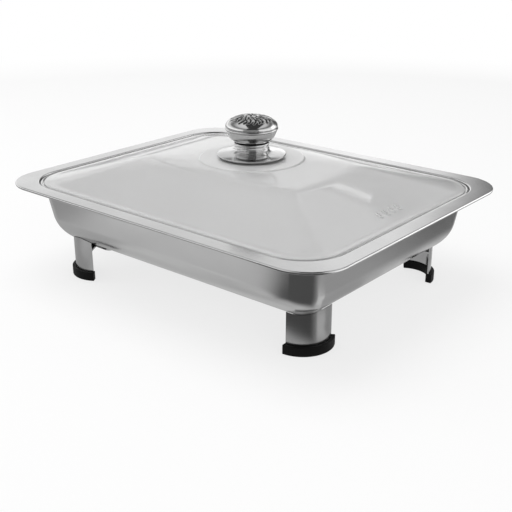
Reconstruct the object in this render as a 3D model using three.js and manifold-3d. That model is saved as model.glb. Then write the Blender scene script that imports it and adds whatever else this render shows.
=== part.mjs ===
// A rectangular chafing dish: a drawn steel water pan on four curved legs, a food pan hanging in it,
// and a hipped plastic lid with a metal knob. Millimetres, +Z up, the long side along X.
// The origin is on the table, under the middle of the dish.

import * as THREE from 'three';
import { mergeVertices } from 'three/addons/utils/BufferGeometryUtils.js';
import Module from 'manifold-3d';

const wasm = await Module();
wasm.setup();

// Fits
const SEAT_GAP = 0.1; // between flat faces that rest on each other
const FIT_GAP = 0.3; // around what is cut to a curved neighbour or passes through it
const OVERRUN = 4; // how far a cutting shape runs past what it cuts

// Water pan
const FLANGE_LENGTH = 340;
const FLANGE_WIDTH = 272;
const FLANGE_CORNER_RADIUS = 34;
const FLANGE_HEIGHT = 85; // top of the flange above the table
const PAN_SHEET = 1.2;
const HEM_HEIGHT = 2.4; // turned-down edge of the flange
const HEM_WIDTH = 2.2;
const MOUTH_MARGIN = 20.9; // from the flange's edge to the outside of the wall, level with the flange
const MOUTH_CORNER_RADIUS = 19;
const PAN_DEPTH = 56.9;
const WALL_DRAFT = THREE.MathUtils.degToRad(8.2);
const PAN_FILLET = 29.7;
const CORNER_SHARE = 0.5; // of a fillet's reach inwards, by which it tightens the pan's corners
const RECESS_MARGIN_LENGTH = 14; // from the flange's edge to the recess, at the short ends
const RECESS_MARGIN_WIDTH = 13.5; // the same at the long sides
const RECESS_CORNER_RADIUS = 36;
const RECESS_DEPTH = 3.6;

// Food pan
const FOOD_SHEET = 1;
const FOOD_DEPTH = 45;
const FOOD_FILLET = 22;
const FOOD_WALL_CLEARANCE = 1.4; // between the two pans' walls
const FOOD_RIM_CLEARANCE = 0.8; // between the rim and the recess

// Lid
const LID_WALL = 2;
const LID_CLEARANCE = 3; // from the recess to the lid's edge
const LID_CORNER_RADIUS = 35;
const LID_BORDER = 4.5;
const LID_RISE = 19.8; // from the border up to the edge of the crown
const CROWN_LENGTH = 159;
const CROWN_WIDTH = 94; // at its corners
const CROWN_BULGE = 11; // how far its long sides bow out
const CROWN_CORNER_RADIUS = 6;
const CROWN_DOME = 2.1; // from its edge up to the round seat in its middle
const PLATEAU_DIAMETER = 87.5;
const PLATEAU_RISE = 1;
const PLATEAU_SLOPE = 1.3; // how far the step's foot lies outside its top
const LIP_CLEARANCE = 1.2; // between the lip under the lid and the food pan
const LIP_DEPTH = 4.5;
const LIP_WALL = 1.8;
const LIP_CORNER_RADIUS = 18;

// Vents in one short face of the lid
const VENT_COUNT = 4;
const VENT_PITCH = 8.7;
const VENT_LENGTH = 5.4;
const VENT_WIDTH = 1.5;
const VENT_COLLAR_WALL = 0.9;
const VENT_COLLAR_RISE = 0.9;
const VENT_EDGE_DISTANCE = 17; // from the lid's edge to the middle of the slots

// Knob
const KNOB_FOOT_DIAMETER = 58.8;
const KNOB_FOOT_HEIGHT = 2.4; // from the gasket to the top of the foot's edge
const KNOB_FOOT_BEVEL = 2.2;
const KNOB_FOOT_ROUNDING = 0.8;
const KNOB_FOOT_RISE = 1.7; // how far the foot's top climbs from its edge to the neck
const KNOB_SHELL = 1.2;
const NECK_DIAMETER = 28.4;
const NECK_HEIGHT = 12.1; // from the gasket to the top of the neck
const NECK_FILLET = 1.8;
const NECK_BEAD_DIAMETER = 30;
const NECK_BEAD_HEIGHT = 1.6;
const NECK_BEAD_LEVEL = 7.3; // above the gasket
const CORE_DIAMETER = 24.6;
const CORE_RING_DIAMETER = 28.6;
const CORE_RING_HEIGHT = 1.6;
const CORE_RISE = 7; // how far the core stands up into the head
const BOWL_FOOT_DIAMETER = 32.4;
const BOWL_HEIGHT = 8.8;
const BOWL_TOP_DIAMETER = 43.4;
const BOWL_SHARES = [
  { up: 0, out: 0 },
  { up: 0.14, out: 0.27 },
  { up: 0.33, out: 0.53 },
  { up: 0.64, out: 0.76 },
  { up: 1, out: 1 },
];
const RING_DIAMETER = 44.6;
const RING_HEIGHT = 2.2;
const CAP_DIAMETER = 44;
const CAP_EDGE_HEIGHT = 0.5; // from the cap's lower edge to its widest line
const CAP_RISE = 9.5;
const CAP_EDGE_INSET = 0.4;
const GASKET_OUTER_DIAMETER = 50;
const GASKET_INNER_DIAMETER = 40;
const GASKET_HEIGHT = 0.6;

// Knob's screw and its washers
const SCREW_DIAMETER = 5;
const SCREW_HEAD_DIAMETER = 10;
const SCREW_HEAD_HEIGHT = 3.2;
const SCREW_REACH = 14; // into the core
const SCREW_CLEARANCE = 0.4;
const WASHER_DIAMETER = 16;
const WASHER_HEIGHT = 1.2;
const SEAL_DIAMETER = 20;
const SEAL_HEIGHT = 1.5;

// Legs
const LEG_MARGIN_LENGTH = 58.9; // from the flange's short ends to the legs' corner points
const LEG_MARGIN_WIDTH = 57.1; // the same from its long sides
const LEG_SHIFT = 2.3; // of the arc's centre along the long side, and the same across it
const LEG_OUTER_RADIUS = 22;
const LEG_SHEET = 1.2;
const LEG_MIDDLE = THREE.MathUtils.degToRad(63);
const LEG_SPAN = THREE.MathUtils.degToRad(117.5);
const LEG_TRIM_HEIGHT = 52; // above the table, before the pan's shape is cut away
const TAB_REACH_LENGTH = 35; // of the tab along the pan's bottom, from the corner point
const TAB_REACH_WIDTH = 25;
const TAB_OUTSIDE = 6;
const TAB_LAP = 8.2; // how far the tab's straight part runs past the arc's centre
const TAB_THICKNESS = 1.5;
const TAB_CORNER_RADIUS = 5;

// Foot caps
const CAP_OUTER_WALL = 3;
const CAP_INNER_WALL = 1.1;
const CAP_END_WALL = 0.9;
const CAP_HEIGHT = 7.6;
const CAP_FLOOR = 2;

// Studs and nuts under the tabs
const STUD_DIAMETER = 5;
const STUD_LENGTH = 7.4;
const STUD_SHARES = [ // of the tab's reach inwards from the corner point, along both its sides
  { width: 0.4, length: 0.26 },
  { width: 0.56, length: 0.71 },
];
const NUT_ACROSS_FLATS = 8;
const NUT_HEIGHT = 3.6;

// Fineness of the faceted surfaces
const CORNER_STEPS = 6;
const LID_SIDE_STEPS = 3;
const FILLET_STEPS = 5;
const KNOB_SEGMENTS = 28;
const WASHER_SEGMENTS = 20;
const BOLT_SEGMENTS = 10;
const CAP_STEPS = 6;
const ARC_STEPS = 10;
const SMALL_ARC_STEPS = 4;
const MERGE_TOLERANCE = 1e-4;

const QUARTER = Math.PI / 2;
const TURN = Math.PI * 2;

// Heights above the table that several pieces share
const ledgeHeight = FLANGE_HEIGHT - RECESS_DEPTH;
const foodRimTop = ledgeHeight + SEAT_GAP + FOOD_SHEET;
const lidEdgeBottom = foodRimTop + SEAT_GAP;
const lidEdgeTop = lidEdgeBottom + LID_WALL;
const crownHeight = lidEdgeTop + LID_RISE;
const domeHeight = crownHeight + CROWN_DOME;
const plateauHeight = domeHeight + PLATEAU_RISE;
const panBottom = FLANGE_HEIGHT - PAN_DEPTH;
const gasketBottom = plateauHeight + SEAT_GAP;
const knobBottom = gasketBottom + GASKET_HEIGHT + SEAT_GAP;

const FINISHES = {
  steel: { color: 0xc4c5c4, roughness: 0.28, metalness: 1 },
  polished: { color: 0xd2d2d0, roughness: 0.12, metalness: 1 },
  lid: { color: 0xdcdedd, roughness: 0.16, metalness: 0 },
  black: { color: 0x161616, roughness: 0.5, metalness: 0 },
  silicone: { color: 0xb9bab8, roughness: 0.6, metalness: 0 },
  zinc: { color: 0x9b9d9e, roughness: 0.4, metalness: 1 },
};

const dish = new THREE.Group();

function addPiece(name, geometry, finish, parent = dish) {
  const mesh = new THREE.Mesh(geometry, new THREE.MeshStandardMaterial(FINISHES[finish]));
  mesh.name = name;
  parent.add(mesh);
  return mesh;
}

// Closed meshes and solids

function signedVolume(positions, index) {
  const corner = (i) => new THREE.Vector3().fromArray(positions, index[i] * 3);
  let sum = 0;
  for (let i = 0; i < index.length; i += 3) {
    sum += corner(i).dot(corner(i + 1).cross(corner(i + 2)));
  }
  return sum;
}

// Merges shared vertices, drops the flat triangles at an axis and turns the faces outwards.
function closedMesh(geometry) {
  const bare = geometry.clone();
  bare.deleteAttribute('normal');
  bare.deleteAttribute('uv');
  const merged = mergeVertices(bare, MERGE_TOLERANCE);
  const positions = merged.attributes.position.array;
  const index = [];
  for (let i = 0; i < merged.index.count; i += 3) {
    const [a, b, c] = merged.index.array.slice(i, i + 3);
    if (a !== b && b !== c && c !== a) {
      index.push(a, b, c);
    }
  }
  if (signedVolume(positions, index) < 0) {
    index.reverse();
  }
  merged.setIndex(index);
  return merged;
}

function solid(geometry) {
  const closed = closedMesh(geometry);
  return new wasm.Manifold(new wasm.Mesh({
    numProp: 3,
    vertProperties: new Float32Array(closed.attributes.position.array),
    triVerts: new Uint32Array(closed.index.array),
  }));
}

function surface(body) {
  const mesh = body.getMesh();
  const geometry = new THREE.BufferGeometry();
  geometry.setAttribute('position', new THREE.BufferAttribute(new Float32Array(mesh.vertProperties), 3));
  geometry.setIndex(Array.from(mesh.triVerts));
  return geometry;
}

// Lofts through rounded rectangles and circles

// The bulge is how far the long sides bow out in their middle.
function rounded(halfLength, halfWidth, cornerRadius, height, bulge = 0) {
  return { halfLength, halfWidth, cornerRadius, height, bulge };
}

function round(radius, height) {
  return { radius, height };
}

function circlePoint(section, corner, step, perQuarter) {
  const angle = QUARTER * (corner + 1 / 2 + (step - CORNER_STEPS / 2) / perQuarter);
  return [section.radius * Math.cos(angle), section.radius * Math.sin(angle), section.height];
}

// A point of a corner's arc, or beyond it a point of the straight side that leads to the next corner.
function rectanglePoint(section, corner, step, sideSteps) {
  const { halfLength, halfWidth, cornerRadius, height, bulge } = section;
  const start = corner * QUARTER;
  const angle = start + (QUARTER * Math.min(step, CORNER_STEPS)) / CORNER_STEPS;
  const signX = Math.sign(Math.cos(start + QUARTER / 2));
  const signY = Math.sign(Math.sin(start + QUARTER / 2));
  const along = 1 - (2 * Math.max(step - CORNER_STEPS, 0)) / (sideSteps + 1);
  const onLongSide = corner % 2 === 0;
  const arcX = signX * (halfLength - cornerRadius) + cornerRadius * Math.cos(angle);
  const arcY = signY * (halfWidth - cornerRadius) + cornerRadius * Math.sin(angle);
  const x = onLongSide ? arcX * along : arcX;
  const y = onLongSide ? arcY : arcY * along;
  const bow = 1 + (bulge / halfWidth) * (1 - (x / halfLength) ** 2);
  return [x, y * bow, height];
}

function outline(section, sideSteps) {
  const perQuarter = CORNER_STEPS + 1 + sideSteps;
  const points = [];
  for (let corner = 0; corner < 4; corner += 1) {
    for (let step = 0; step < perQuarter; step += 1) {
      const point = section.radius
        ? circlePoint(section, corner, step, perQuarter)
        : rectanglePoint(section, corner, step, sideSteps);
      points.push(point);
    }
  }
  return points;
}

// Joins each outline to the next. A looped loft joins the last to the first, and any other is capped.
function loft(sections, looped = false, sideSteps = 0) {
  const rings = sections.map((section) => outline(section, sideSteps));
  const count = rings[0].length;
  const positions = rings.flat(2);
  const index = [];
  const bands = looped ? rings.length : rings.length - 1;
  for (let band = 0; band < bands; band += 1) {
    const low = band * count;
    const high = ((band + 1) % rings.length) * count;
    for (let i = 0; i < count; i += 1) {
      const next = (i + 1) % count;
      index.push(low + i, low + next, high + next, low + i, high + next, high + i);
    }
  }
  if (!looped) {
    const first = positions.length / 3;
    positions.push(0, 0, sections[0].height, 0, 0, sections[sections.length - 1].height);
    const top = (rings.length - 1) * count;
    for (let i = 0; i < count; i += 1) {
      const next = (i + 1) % count;
      index.push(first, next, i, first + 1, top + i, top + next);
    }
  }
  const geometry = new THREE.BufferGeometry();
  geometry.setAttribute('position', new THREE.Float32BufferAttribute(positions, 3));
  geometry.setIndex(index);
  return closedMesh(geometry);
}

// A body of revolution about Z from [radius, height] points. A profile off the axis closes on itself.
function turned(profile, segments = KNOB_SEGMENTS) {
  const points = profile.map(([radius, height]) => new THREE.Vector2(radius, height));
  if (profile[0][0] > 0) {
    points.push(points[0].clone());
  }
  const geometry = new THREE.LatheGeometry(points, segments);
  geometry.rotateX(QUARTER);
  return closedMesh(geometry);
}

function ring(innerRadius, outerRadius, bottom, height) {
  const top = bottom + height;
  return turned([
    [innerRadius, bottom],
    [outerRadius, bottom],
    [outerRadius, top],
    [innerRadius, top],
  ], WASHER_SEGMENTS);
}

function rod(radius, bottom, height) {
  const top = bottom + height;
  return turned([
    [0, bottom],
    [radius, bottom],
    [radius, top],
    [0, top],
  ], BOLT_SEGMENTS);
}

function prism(shape, bottom, height, steps = ARC_STEPS) {
  const geometry = new THREE.ExtrudeGeometry(shape, {
    depth: height,
    bevelEnabled: false,
    curveSegments: steps,
  });
  geometry.translate(0, 0, bottom);
  return closedMesh(geometry);
}

// The two pans

// The surface of a drawn bowl from the edge of its flat bottom up to the level topHeight.
// The offset is outwards from the outside of the sheet.
function bowlSections(bowl, offset, topHeight) {
  const sections = [];
  const filletLevel = bowl.depth - bowl.fillet;
  const filletInset = filletLevel * Math.tan(WALL_DRAFT) + bowl.fillet / Math.cos(WALL_DRAFT);
  const wallInset = filletInset - bowl.fillet * Math.cos(WALL_DRAFT);
  const at = (inset, cornerInset, height) => rounded(
    bowl.halfLength - inset,
    bowl.halfWidth - inset,
    bowl.cornerRadius - cornerInset * CORNER_SHARE + offset,
    height,
  );
  for (let step = 0; step <= FILLET_STEPS; step += 1) {
    const angle = QUARTER - ((QUARTER - WALL_DRAFT) * step) / FILLET_STEPS;
    const inset = filletInset - (bowl.fillet + offset) * Math.cos(angle);
    const sheetInset = filletInset - bowl.fillet * Math.cos(angle);
    const depth = filletLevel + (bowl.fillet + offset) * Math.sin(angle);
    sections.push(at(inset, sheetInset - wallInset, bowl.topLevel - depth));
  }
  const topDepth = bowl.topLevel - topHeight;
  sections.push(at(topDepth * Math.tan(WALL_DRAFT) - offset / Math.cos(WALL_DRAFT), 0, topHeight));
  return sections;
}

const flangeHalfLength = FLANGE_LENGTH / 2;
const flangeHalfWidth = FLANGE_WIDTH / 2;
const recessHalfLength = flangeHalfLength - RECESS_MARGIN_LENGTH;
const recessHalfWidth = flangeHalfWidth - RECESS_MARGIN_WIDTH;

const waterBowl = {
  halfLength: flangeHalfLength - MOUTH_MARGIN,
  halfWidth: flangeHalfWidth - MOUTH_MARGIN,
  cornerRadius: MOUTH_CORNER_RADIUS,
  depth: PAN_DEPTH,
  fillet: PAN_FILLET,
  topLevel: FLANGE_HEIGHT,
};

// The food pan hangs parallel to the water pan's wall, with its rim on the ledge.
const foodInset = (PAN_SHEET + FOOD_WALL_CLEARANCE) / Math.cos(WALL_DRAFT);
const foodBowl = {
  halfLength: waterBowl.halfLength - foodInset,
  halfWidth: waterBowl.halfWidth - foodInset,
  cornerRadius: MOUTH_CORNER_RADIUS - foodInset,
  depth: FOOD_DEPTH,
  fillet: FOOD_FILLET,
  topLevel: FLANGE_HEIGHT,
};

function flangeRing(inset, height) {
  return rounded(flangeHalfLength - inset, flangeHalfWidth - inset, FLANGE_CORNER_RADIUS - inset, height);
}

function recessRing(inset, height) {
  return rounded(recessHalfLength - inset, recessHalfWidth - inset, RECESS_CORNER_RADIUS - inset, height);
}

function waterPan() {
  const hemBottom = FLANGE_HEIGHT - HEM_HEIGHT;
  const underFlange = FLANGE_HEIGHT - PAN_SHEET;
  const underLedge = ledgeHeight - PAN_SHEET;
  const hemRounding = HEM_WIDTH / 4;
  return loft([
    ...bowlSections(waterBowl, 0, underLedge),
    recessRing(-PAN_SHEET, underLedge),
    recessRing(-PAN_SHEET, underFlange),
    flangeRing(HEM_WIDTH, underFlange),
    flangeRing(HEM_WIDTH, hemBottom + hemRounding),
    flangeRing(HEM_WIDTH - hemRounding, hemBottom),
    flangeRing(hemRounding, hemBottom),
    flangeRing(0, hemBottom + hemRounding),
    flangeRing(0, FLANGE_HEIGHT - hemRounding),
    flangeRing(hemRounding, FLANGE_HEIGHT),
    recessRing(0, FLANGE_HEIGHT),
    recessRing(0, ledgeHeight),
    ...bowlSections(waterBowl, -PAN_SHEET, ledgeHeight).reverse(),
  ]);
}

function foodPan() {
  const rimBottom = foodRimTop - FOOD_SHEET;
  return loft([
    ...bowlSections(foodBowl, 0, rimBottom),
    recessRing(FOOD_RIM_CLEARANCE, rimBottom),
    recessRing(FOOD_RIM_CLEARANCE, foodRimTop),
    ...bowlSections(foodBowl, -FOOD_SHEET, foodRimTop).reverse(),
  ]);
}

// The pan's outside as one filled shape, grown by the fit gap, which trims the tops of the legs.
function panCutter() {
  return solid(loft(bowlSections(waterBowl, FIT_GAP, FLANGE_HEIGHT)));
}

// The lid

const lidHalfLength = recessHalfLength - LID_CLEARANCE;
const lidHalfWidth = recessHalfWidth - LID_CLEARANCE;
const screwHoleRadius = SCREW_DIAMETER / 2 + SCREW_CLEARANCE;

function lidRing(inset, height) {
  return rounded(lidHalfLength - inset, lidHalfWidth - inset, LID_CORNER_RADIUS - inset, height);
}

// Height of the hips' top face at a distance inside the lid's edge along the long side.
function hipHeight(inset) {
  const run = lidHalfLength - LID_BORDER - CROWN_LENGTH / 2;
  return lidEdgeTop + (LID_RISE * (inset - LID_BORDER)) / run;
}

function crownRing(height) {
  return rounded(CROWN_LENGTH / 2, CROWN_WIDTH / 2, CROWN_CORNER_RADIUS, height, CROWN_BULGE);
}

function lidShell() {
  const lipDrop = foodRimTop - LIP_DEPTH;
  const lipWallDrop = (FLANGE_HEIGHT - lipDrop) * Math.tan(WALL_DRAFT);
  const lipInset = foodInset + FOOD_SHEET / Math.cos(WALL_DRAFT) + lipWallDrop + LIP_CLEARANCE;
  const lip = (inset, height) => rounded(
    waterBowl.halfLength - lipInset - inset,
    waterBowl.halfWidth - lipInset - inset,
    LIP_CORNER_RADIUS - inset,
    height,
  );
  const lipTop = hipHeight(lidHalfLength - (waterBowl.halfLength - lipInset - LIP_WALL)) - LID_WALL;
  const plateauRadius = PLATEAU_DIAMETER / 2;
  return loft([
    lidRing(0, lidEdgeBottom),
    lidRing(0, lidEdgeTop),
    lidRing(LID_BORDER, lidEdgeTop),
    crownRing(crownHeight),
    round(plateauRadius + PLATEAU_SLOPE, domeHeight),
    round(plateauRadius, plateauHeight),
    round(screwHoleRadius, plateauHeight),
    round(screwHoleRadius, plateauHeight - LID_WALL),
    round(plateauRadius, plateauHeight - LID_WALL),
    round(plateauRadius + PLATEAU_SLOPE, domeHeight - LID_WALL),
    crownRing(crownHeight - LID_WALL),
    lip(LIP_WALL, lipTop),
    lip(LIP_WALL, lipDrop),
    lip(0, lipDrop),
    lip(0, lidEdgeBottom),
  ], true, LID_SIDE_STEPS);
}

function stadium(length, width) {
  const reach = (length - width) / 2;
  const shape = new THREE.Shape();
  shape.absarc(reach, 0, width / 2, -QUARTER, QUARTER, false);
  shape.absarc(-reach, 0, width / 2, QUARTER, QUARTER * 3, false);
  return shape;
}

// Moves a shape drawn flat at the origin to one of the vents' places on the sloping short face.
function atVent(geometry, number) {
  const run = lidHalfLength - LID_BORDER - CROWN_LENGTH / 2;
  geometry.rotateY(Math.atan(LID_RISE / run));
  const y = (number - (VENT_COUNT - 1) / 2) * VENT_PITCH;
  geometry.translate(lidHalfLength - VENT_EDGE_DISTANCE, y, hipHeight(VENT_EDGE_DISTANCE));
  return geometry;
}

function ventedLid() {
  let body = solid(lidShell());
  const collarLength = VENT_LENGTH + VENT_COLLAR_WALL * 2;
  const collarWidth = VENT_WIDTH + VENT_COLLAR_WALL * 2;
  for (let number = 0; number < VENT_COUNT; number += 1) {
    const root = LID_WALL / 2;
    const shape = stadium(collarLength, collarWidth);
    const collar = prism(shape, -root, root + VENT_COLLAR_RISE, SMALL_ARC_STEPS);
    body = body.add(solid(atVent(collar, number)));
  }
  for (let number = 0; number < VENT_COUNT; number += 1) {
    const slot = prism(stadium(VENT_LENGTH, VENT_WIDTH), -OVERRUN, OVERRUN * 2, SMALL_ARC_STEPS);
    body = body.subtract(solid(atVent(slot, number)));
  }
  return surface(body);
}

// The knob, from the lid upwards

const neckTop = knobBottom + NECK_HEIGHT;
const coreRingTop = neckTop + SEAT_GAP + CORE_RING_HEIGHT;
const bowlBottom = coreRingTop + SEAT_GAP;
const bowlTop = bowlBottom + BOWL_HEIGHT;
const headRingBottom = bowlTop + SEAT_GAP;
const headRingTop = headRingBottom + RING_HEIGHT;
const capBottom = headRingTop + SEAT_GAP;
const capWidest = capBottom + CAP_EDGE_HEIGHT;
const coreRadius = CORE_DIAMETER / 2;
const sleeveRadius = coreRadius + FIT_GAP;

function knobBase() {
  const edge = KNOB_FOOT_DIAMETER / 2;
  const neck = NECK_DIAMETER / 2;
  const bead = NECK_BEAD_DIAMETER / 2;
  const edgeHeight = knobBottom + KNOB_FOOT_HEIGHT;
  const footTop = edgeHeight + KNOB_FOOT_RISE;
  const beadMiddle = knobBottom + NECK_BEAD_LEVEL;
  return turned([
    [edge - KNOB_FOOT_BEVEL, knobBottom],
    [edge - KNOB_FOOT_BEVEL / 3, knobBottom + KNOB_FOOT_HEIGHT / 2],
    [edge, edgeHeight - KNOB_FOOT_ROUNDING],
    [edge - KNOB_FOOT_ROUNDING, edgeHeight],
    [neck + NECK_FILLET, footTop],
    [neck + NECK_FILLET / 4, footTop + NECK_FILLET / 4],
    [neck, footTop + NECK_FILLET],
    [neck, beadMiddle - NECK_BEAD_HEIGHT / 2],
    [bead, beadMiddle - NECK_BEAD_HEIGHT / 4],
    [bead, beadMiddle + NECK_BEAD_HEIGHT / 4],
    [neck, beadMiddle + NECK_BEAD_HEIGHT / 2],
    [neck, neckTop - KNOB_SHELL],
    [bead, neckTop - KNOB_SHELL / 2],
    [bead, neckTop],
    [sleeveRadius, neckTop],
    [sleeveRadius, footTop - KNOB_SHELL],
    [edge - KNOB_FOOT_BEVEL - KNOB_SHELL, edgeHeight - KNOB_SHELL],
    [edge - KNOB_FOOT_BEVEL - KNOB_SHELL, knobBottom],
  ]);
}

function knobCore() {
  const hole = screwHoleRadius - SCREW_CLEARANCE / 2;
  const ringRadius = CORE_RING_DIAMETER / 2;
  const ringBottom = neckTop + SEAT_GAP;
  const holeTop = plateauHeight + SCREW_REACH + SCREW_CLEARANCE;
  return turned([
    [0, holeTop],
    [hole, holeTop],
    [hole, gasketBottom],
    [coreRadius, gasketBottom],
    [coreRadius, ringBottom],
    [ringRadius, ringBottom],
    [ringRadius, coreRingTop],
    [coreRadius, coreRingTop],
    [coreRadius, coreRingTop + CORE_RISE],
    [0, coreRingTop + CORE_RISE],
  ]);
}

// Lower shell of the head. Its outline is the same inside, moved in and up by the shell.
function knobBowl() {
  const foot = BOWL_FOOT_DIAMETER / 2;
  const flare = BOWL_TOP_DIAMETER / 2 - foot;
  const outside = BOWL_SHARES.map(({ up, out }) => [foot + flare * out, bowlBottom + BOWL_HEIGHT * up]);
  const inside = BOWL_SHARES.map(({ up, out }) => [
    foot + flare * out - KNOB_SHELL,
    bowlBottom + KNOB_SHELL + (BOWL_HEIGHT - KNOB_SHELL) * up,
  ]);
  return turned([
    [sleeveRadius, bowlBottom],
    ...outside,
    ...inside.reverse(),
    [sleeveRadius, bowlBottom + KNOB_SHELL],
  ]);
}

function knobRing() {
  const outer = RING_DIAMETER / 2;
  const inner = BOWL_TOP_DIAMETER / 2 - KNOB_SHELL;
  return turned([
    [inner, headRingBottom],
    [outer - RING_HEIGHT / 3, headRingBottom],
    [outer, headRingBottom + RING_HEIGHT / 3],
    [outer, headRingTop - RING_HEIGHT / 3],
    [outer - RING_HEIGHT / 3, headRingTop],
    [inner, headRingTop],
  ]);
}

function knobCap() {
  const widest = CAP_DIAMETER / 2;
  const outside = [[widest - CAP_EDGE_INSET, capBottom]];
  const inside = [[widest - CAP_EDGE_INSET - KNOB_SHELL, capBottom]];
  for (let step = 0; step <= CAP_STEPS; step += 1) {
    const angle = (QUARTER * step) / CAP_STEPS;
    const across = step === CAP_STEPS ? 0 : Math.cos(angle);
    outside.push([widest * across, capWidest + CAP_RISE * Math.sin(angle)]);
    inside.push([(widest - KNOB_SHELL) * across, capWidest + (CAP_RISE - KNOB_SHELL) * Math.sin(angle)]);
  }
  return turned([...inside.reverse(), ...outside].reverse());
}

function addKnob() {
  const underLid = plateauHeight - LID_WALL - SEAT_GAP;
  const sealBottom = underLid - SEAL_HEIGHT;
  const washerBottom = sealBottom - SEAT_GAP - WASHER_HEIGHT;
  const headTop = washerBottom - SEAT_GAP;
  const shank = SCREW_DIAMETER / 2;
  const head = SCREW_HEAD_DIAMETER / 2;
  const gasketInner = GASKET_INNER_DIAMETER / 2;
  const gasketOuter = GASKET_OUTER_DIAMETER / 2;
  addPiece('knob_gasket', ring(gasketInner, gasketOuter, gasketBottom, GASKET_HEIGHT), 'silicone');
  addPiece('knob_base', knobBase(), 'polished');
  addPiece('knob_core', knobCore(), 'black');
  addPiece('knob_bowl', knobBowl(), 'polished');
  addPiece('knob_ring', knobRing(), 'polished');
  addPiece('knob_cap', knobCap(), 'polished');
  addPiece('lid_seal', ring(screwHoleRadius, SEAL_DIAMETER / 2, sealBottom, SEAL_HEIGHT), 'silicone');
  addPiece('lid_washer', ring(screwHoleRadius, WASHER_DIAMETER / 2, washerBottom, WASHER_HEIGHT), 'zinc');
  addPiece('knob_screw', turned([
    [0, headTop - SCREW_HEAD_HEIGHT],
    [head - SCREW_HEAD_HEIGHT / 2, headTop - SCREW_HEAD_HEIGHT],
    [head, headTop - SCREW_HEAD_HEIGHT / 2],
    [head, headTop],
    [shank, headTop],
    [shank, plateauHeight + SCREW_REACH],
    [0, plateauHeight + SCREW_REACH],
  ], BOLT_SEGMENTS * 2), 'zinc');
}

// The legs. Each stands in a group at a corner point, with both local axes pointing out of the pan.

function arcBand(inner, outer, span) {
  const start = LEG_MIDDLE - span / 2;
  const end = LEG_MIDDLE + span / 2;
  const shape = new THREE.Shape();
  shape.absarc(-LEG_SHIFT, LEG_SHIFT, outer, start, end, false);
  shape.absarc(-LEG_SHIFT, LEG_SHIFT, inner, end, start, true);
  return shape;
}

function roundedPlate(lowX, highX, lowY, highY, radius) {
  const shape = new THREE.Shape();
  shape.absarc(highX - radius, highY - radius, radius, 0, QUARTER, false);
  shape.absarc(lowX + radius, highY - radius, radius, QUARTER, QUARTER * 2, false);
  shape.absarc(lowX + radius, lowY + radius, radius, QUARTER * 2, QUARTER * 3, false);
  shape.absarc(highX - radius, lowY + radius, radius, QUARTER * 3, TURN, false);
  return shape;
}

// The part of the tab inside the arc: a wedge from the arc's centre to the middle of the sheet.
function tabFan() {
  const reach = LEG_OUTER_RADIUS - LEG_SHEET / 2;
  const shape = new THREE.Shape();
  shape.absarc(-LEG_SHIFT, LEG_SHIFT, reach, LEG_MIDDLE - LEG_SPAN / 2, LEG_MIDDLE + LEG_SPAN / 2, false);
  shape.lineTo(-LEG_SHIFT, LEG_SHIFT);
  return shape;
}

const legInnerRadius = LEG_OUTER_RADIUS - LEG_SHEET;
const tabTop = panBottom - FIT_GAP;
const tabBottom = tabTop - TAB_THICKNESS;
const studPlaces = STUD_SHARES.map(({ width, length }) => [
  -TAB_REACH_WIDTH * width,
  -TAB_REACH_LENGTH * length,
]);

function tabPlate() {
  const top = LEG_SHIFT + TAB_LAP;
  return roundedPlate(-TAB_REACH_WIDTH, TAB_OUTSIDE, -TAB_REACH_LENGTH, top, TAB_CORNER_RADIUS);
}

function legSolid(toCorner) {
  const wallBottom = CAP_FLOOR + SEAT_GAP;
  const wall = arcBand(legInnerRadius, LEG_OUTER_RADIUS, LEG_SPAN);
  const cutter = surface(panCutter());
  cutter.applyMatrix4(toCorner.clone().invert());
  let body = solid(prism(wall, wallBottom, LEG_TRIM_HEIGHT - wallBottom)).subtract(solid(cutter));
  body = body.add(solid(prism(tabFan(), tabBottom, TAB_THICKNESS)));
  body = body.add(solid(prism(tabPlate(), tabBottom, TAB_THICKNESS, SMALL_ARC_STEPS)));
  for (const [x, y] of studPlaces) {
    const hole = rod(STUD_DIAMETER / 2 + FIT_GAP, tabBottom - OVERRUN, TAB_THICKNESS + OVERRUN * 2);
    hole.translate(x, y, 0);
    body = body.subtract(solid(hole));
  }
  return surface(body);
}

function footCap() {
  const endAngle = CAP_END_WALL / LEG_OUTER_RADIUS;
  const gapAngle = FIT_GAP / LEG_OUTER_RADIUS;
  const inner = legInnerRadius - CAP_INNER_WALL;
  const outer = LEG_OUTER_RADIUS + CAP_OUTER_WALL;
  const block = solid(prism(arcBand(inner, outer, LEG_SPAN + endAngle * 2), 0, CAP_HEIGHT));
  const grooveBand = arcBand(legInnerRadius - FIT_GAP, LEG_OUTER_RADIUS + FIT_GAP, LEG_SPAN + gapAngle * 2);
  const groove = solid(prism(grooveBand, CAP_FLOOR, CAP_HEIGHT));
  return surface(block.subtract(groove));
}

function nut() {
  const shape = new THREE.Shape();
  const corner = NUT_ACROSS_FLATS / 2 / Math.cos(Math.PI / 6);
  for (let side = 0; side < 6; side += 1) {
    const angle = (TURN * side) / 6;
    const point = [corner * Math.cos(angle), corner * Math.sin(angle)];
    if (side === 0) {
      shape.moveTo(...point);
    } else {
      shape.lineTo(...point);
    }
  }
  const bottom = tabBottom - SEAT_GAP - NUT_HEIGHT;
  const hole = rod(STUD_DIAMETER / 2 + FIT_GAP, bottom - OVERRUN, NUT_HEIGHT + OVERRUN * 2);
  return surface(solid(prism(shape, bottom, NUT_HEIGHT)).subtract(solid(hole)));
}

const CORNERS = [
  { name: 'back_right', signX: 1, signY: 1, quarters: 0 },
  { name: 'back_left', signX: -1, signY: 1, quarters: 1 },
  { name: 'front_left', signX: -1, signY: -1, quarters: 2 },
  { name: 'front_right', signX: 1, signY: -1, quarters: 3 },
];

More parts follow.
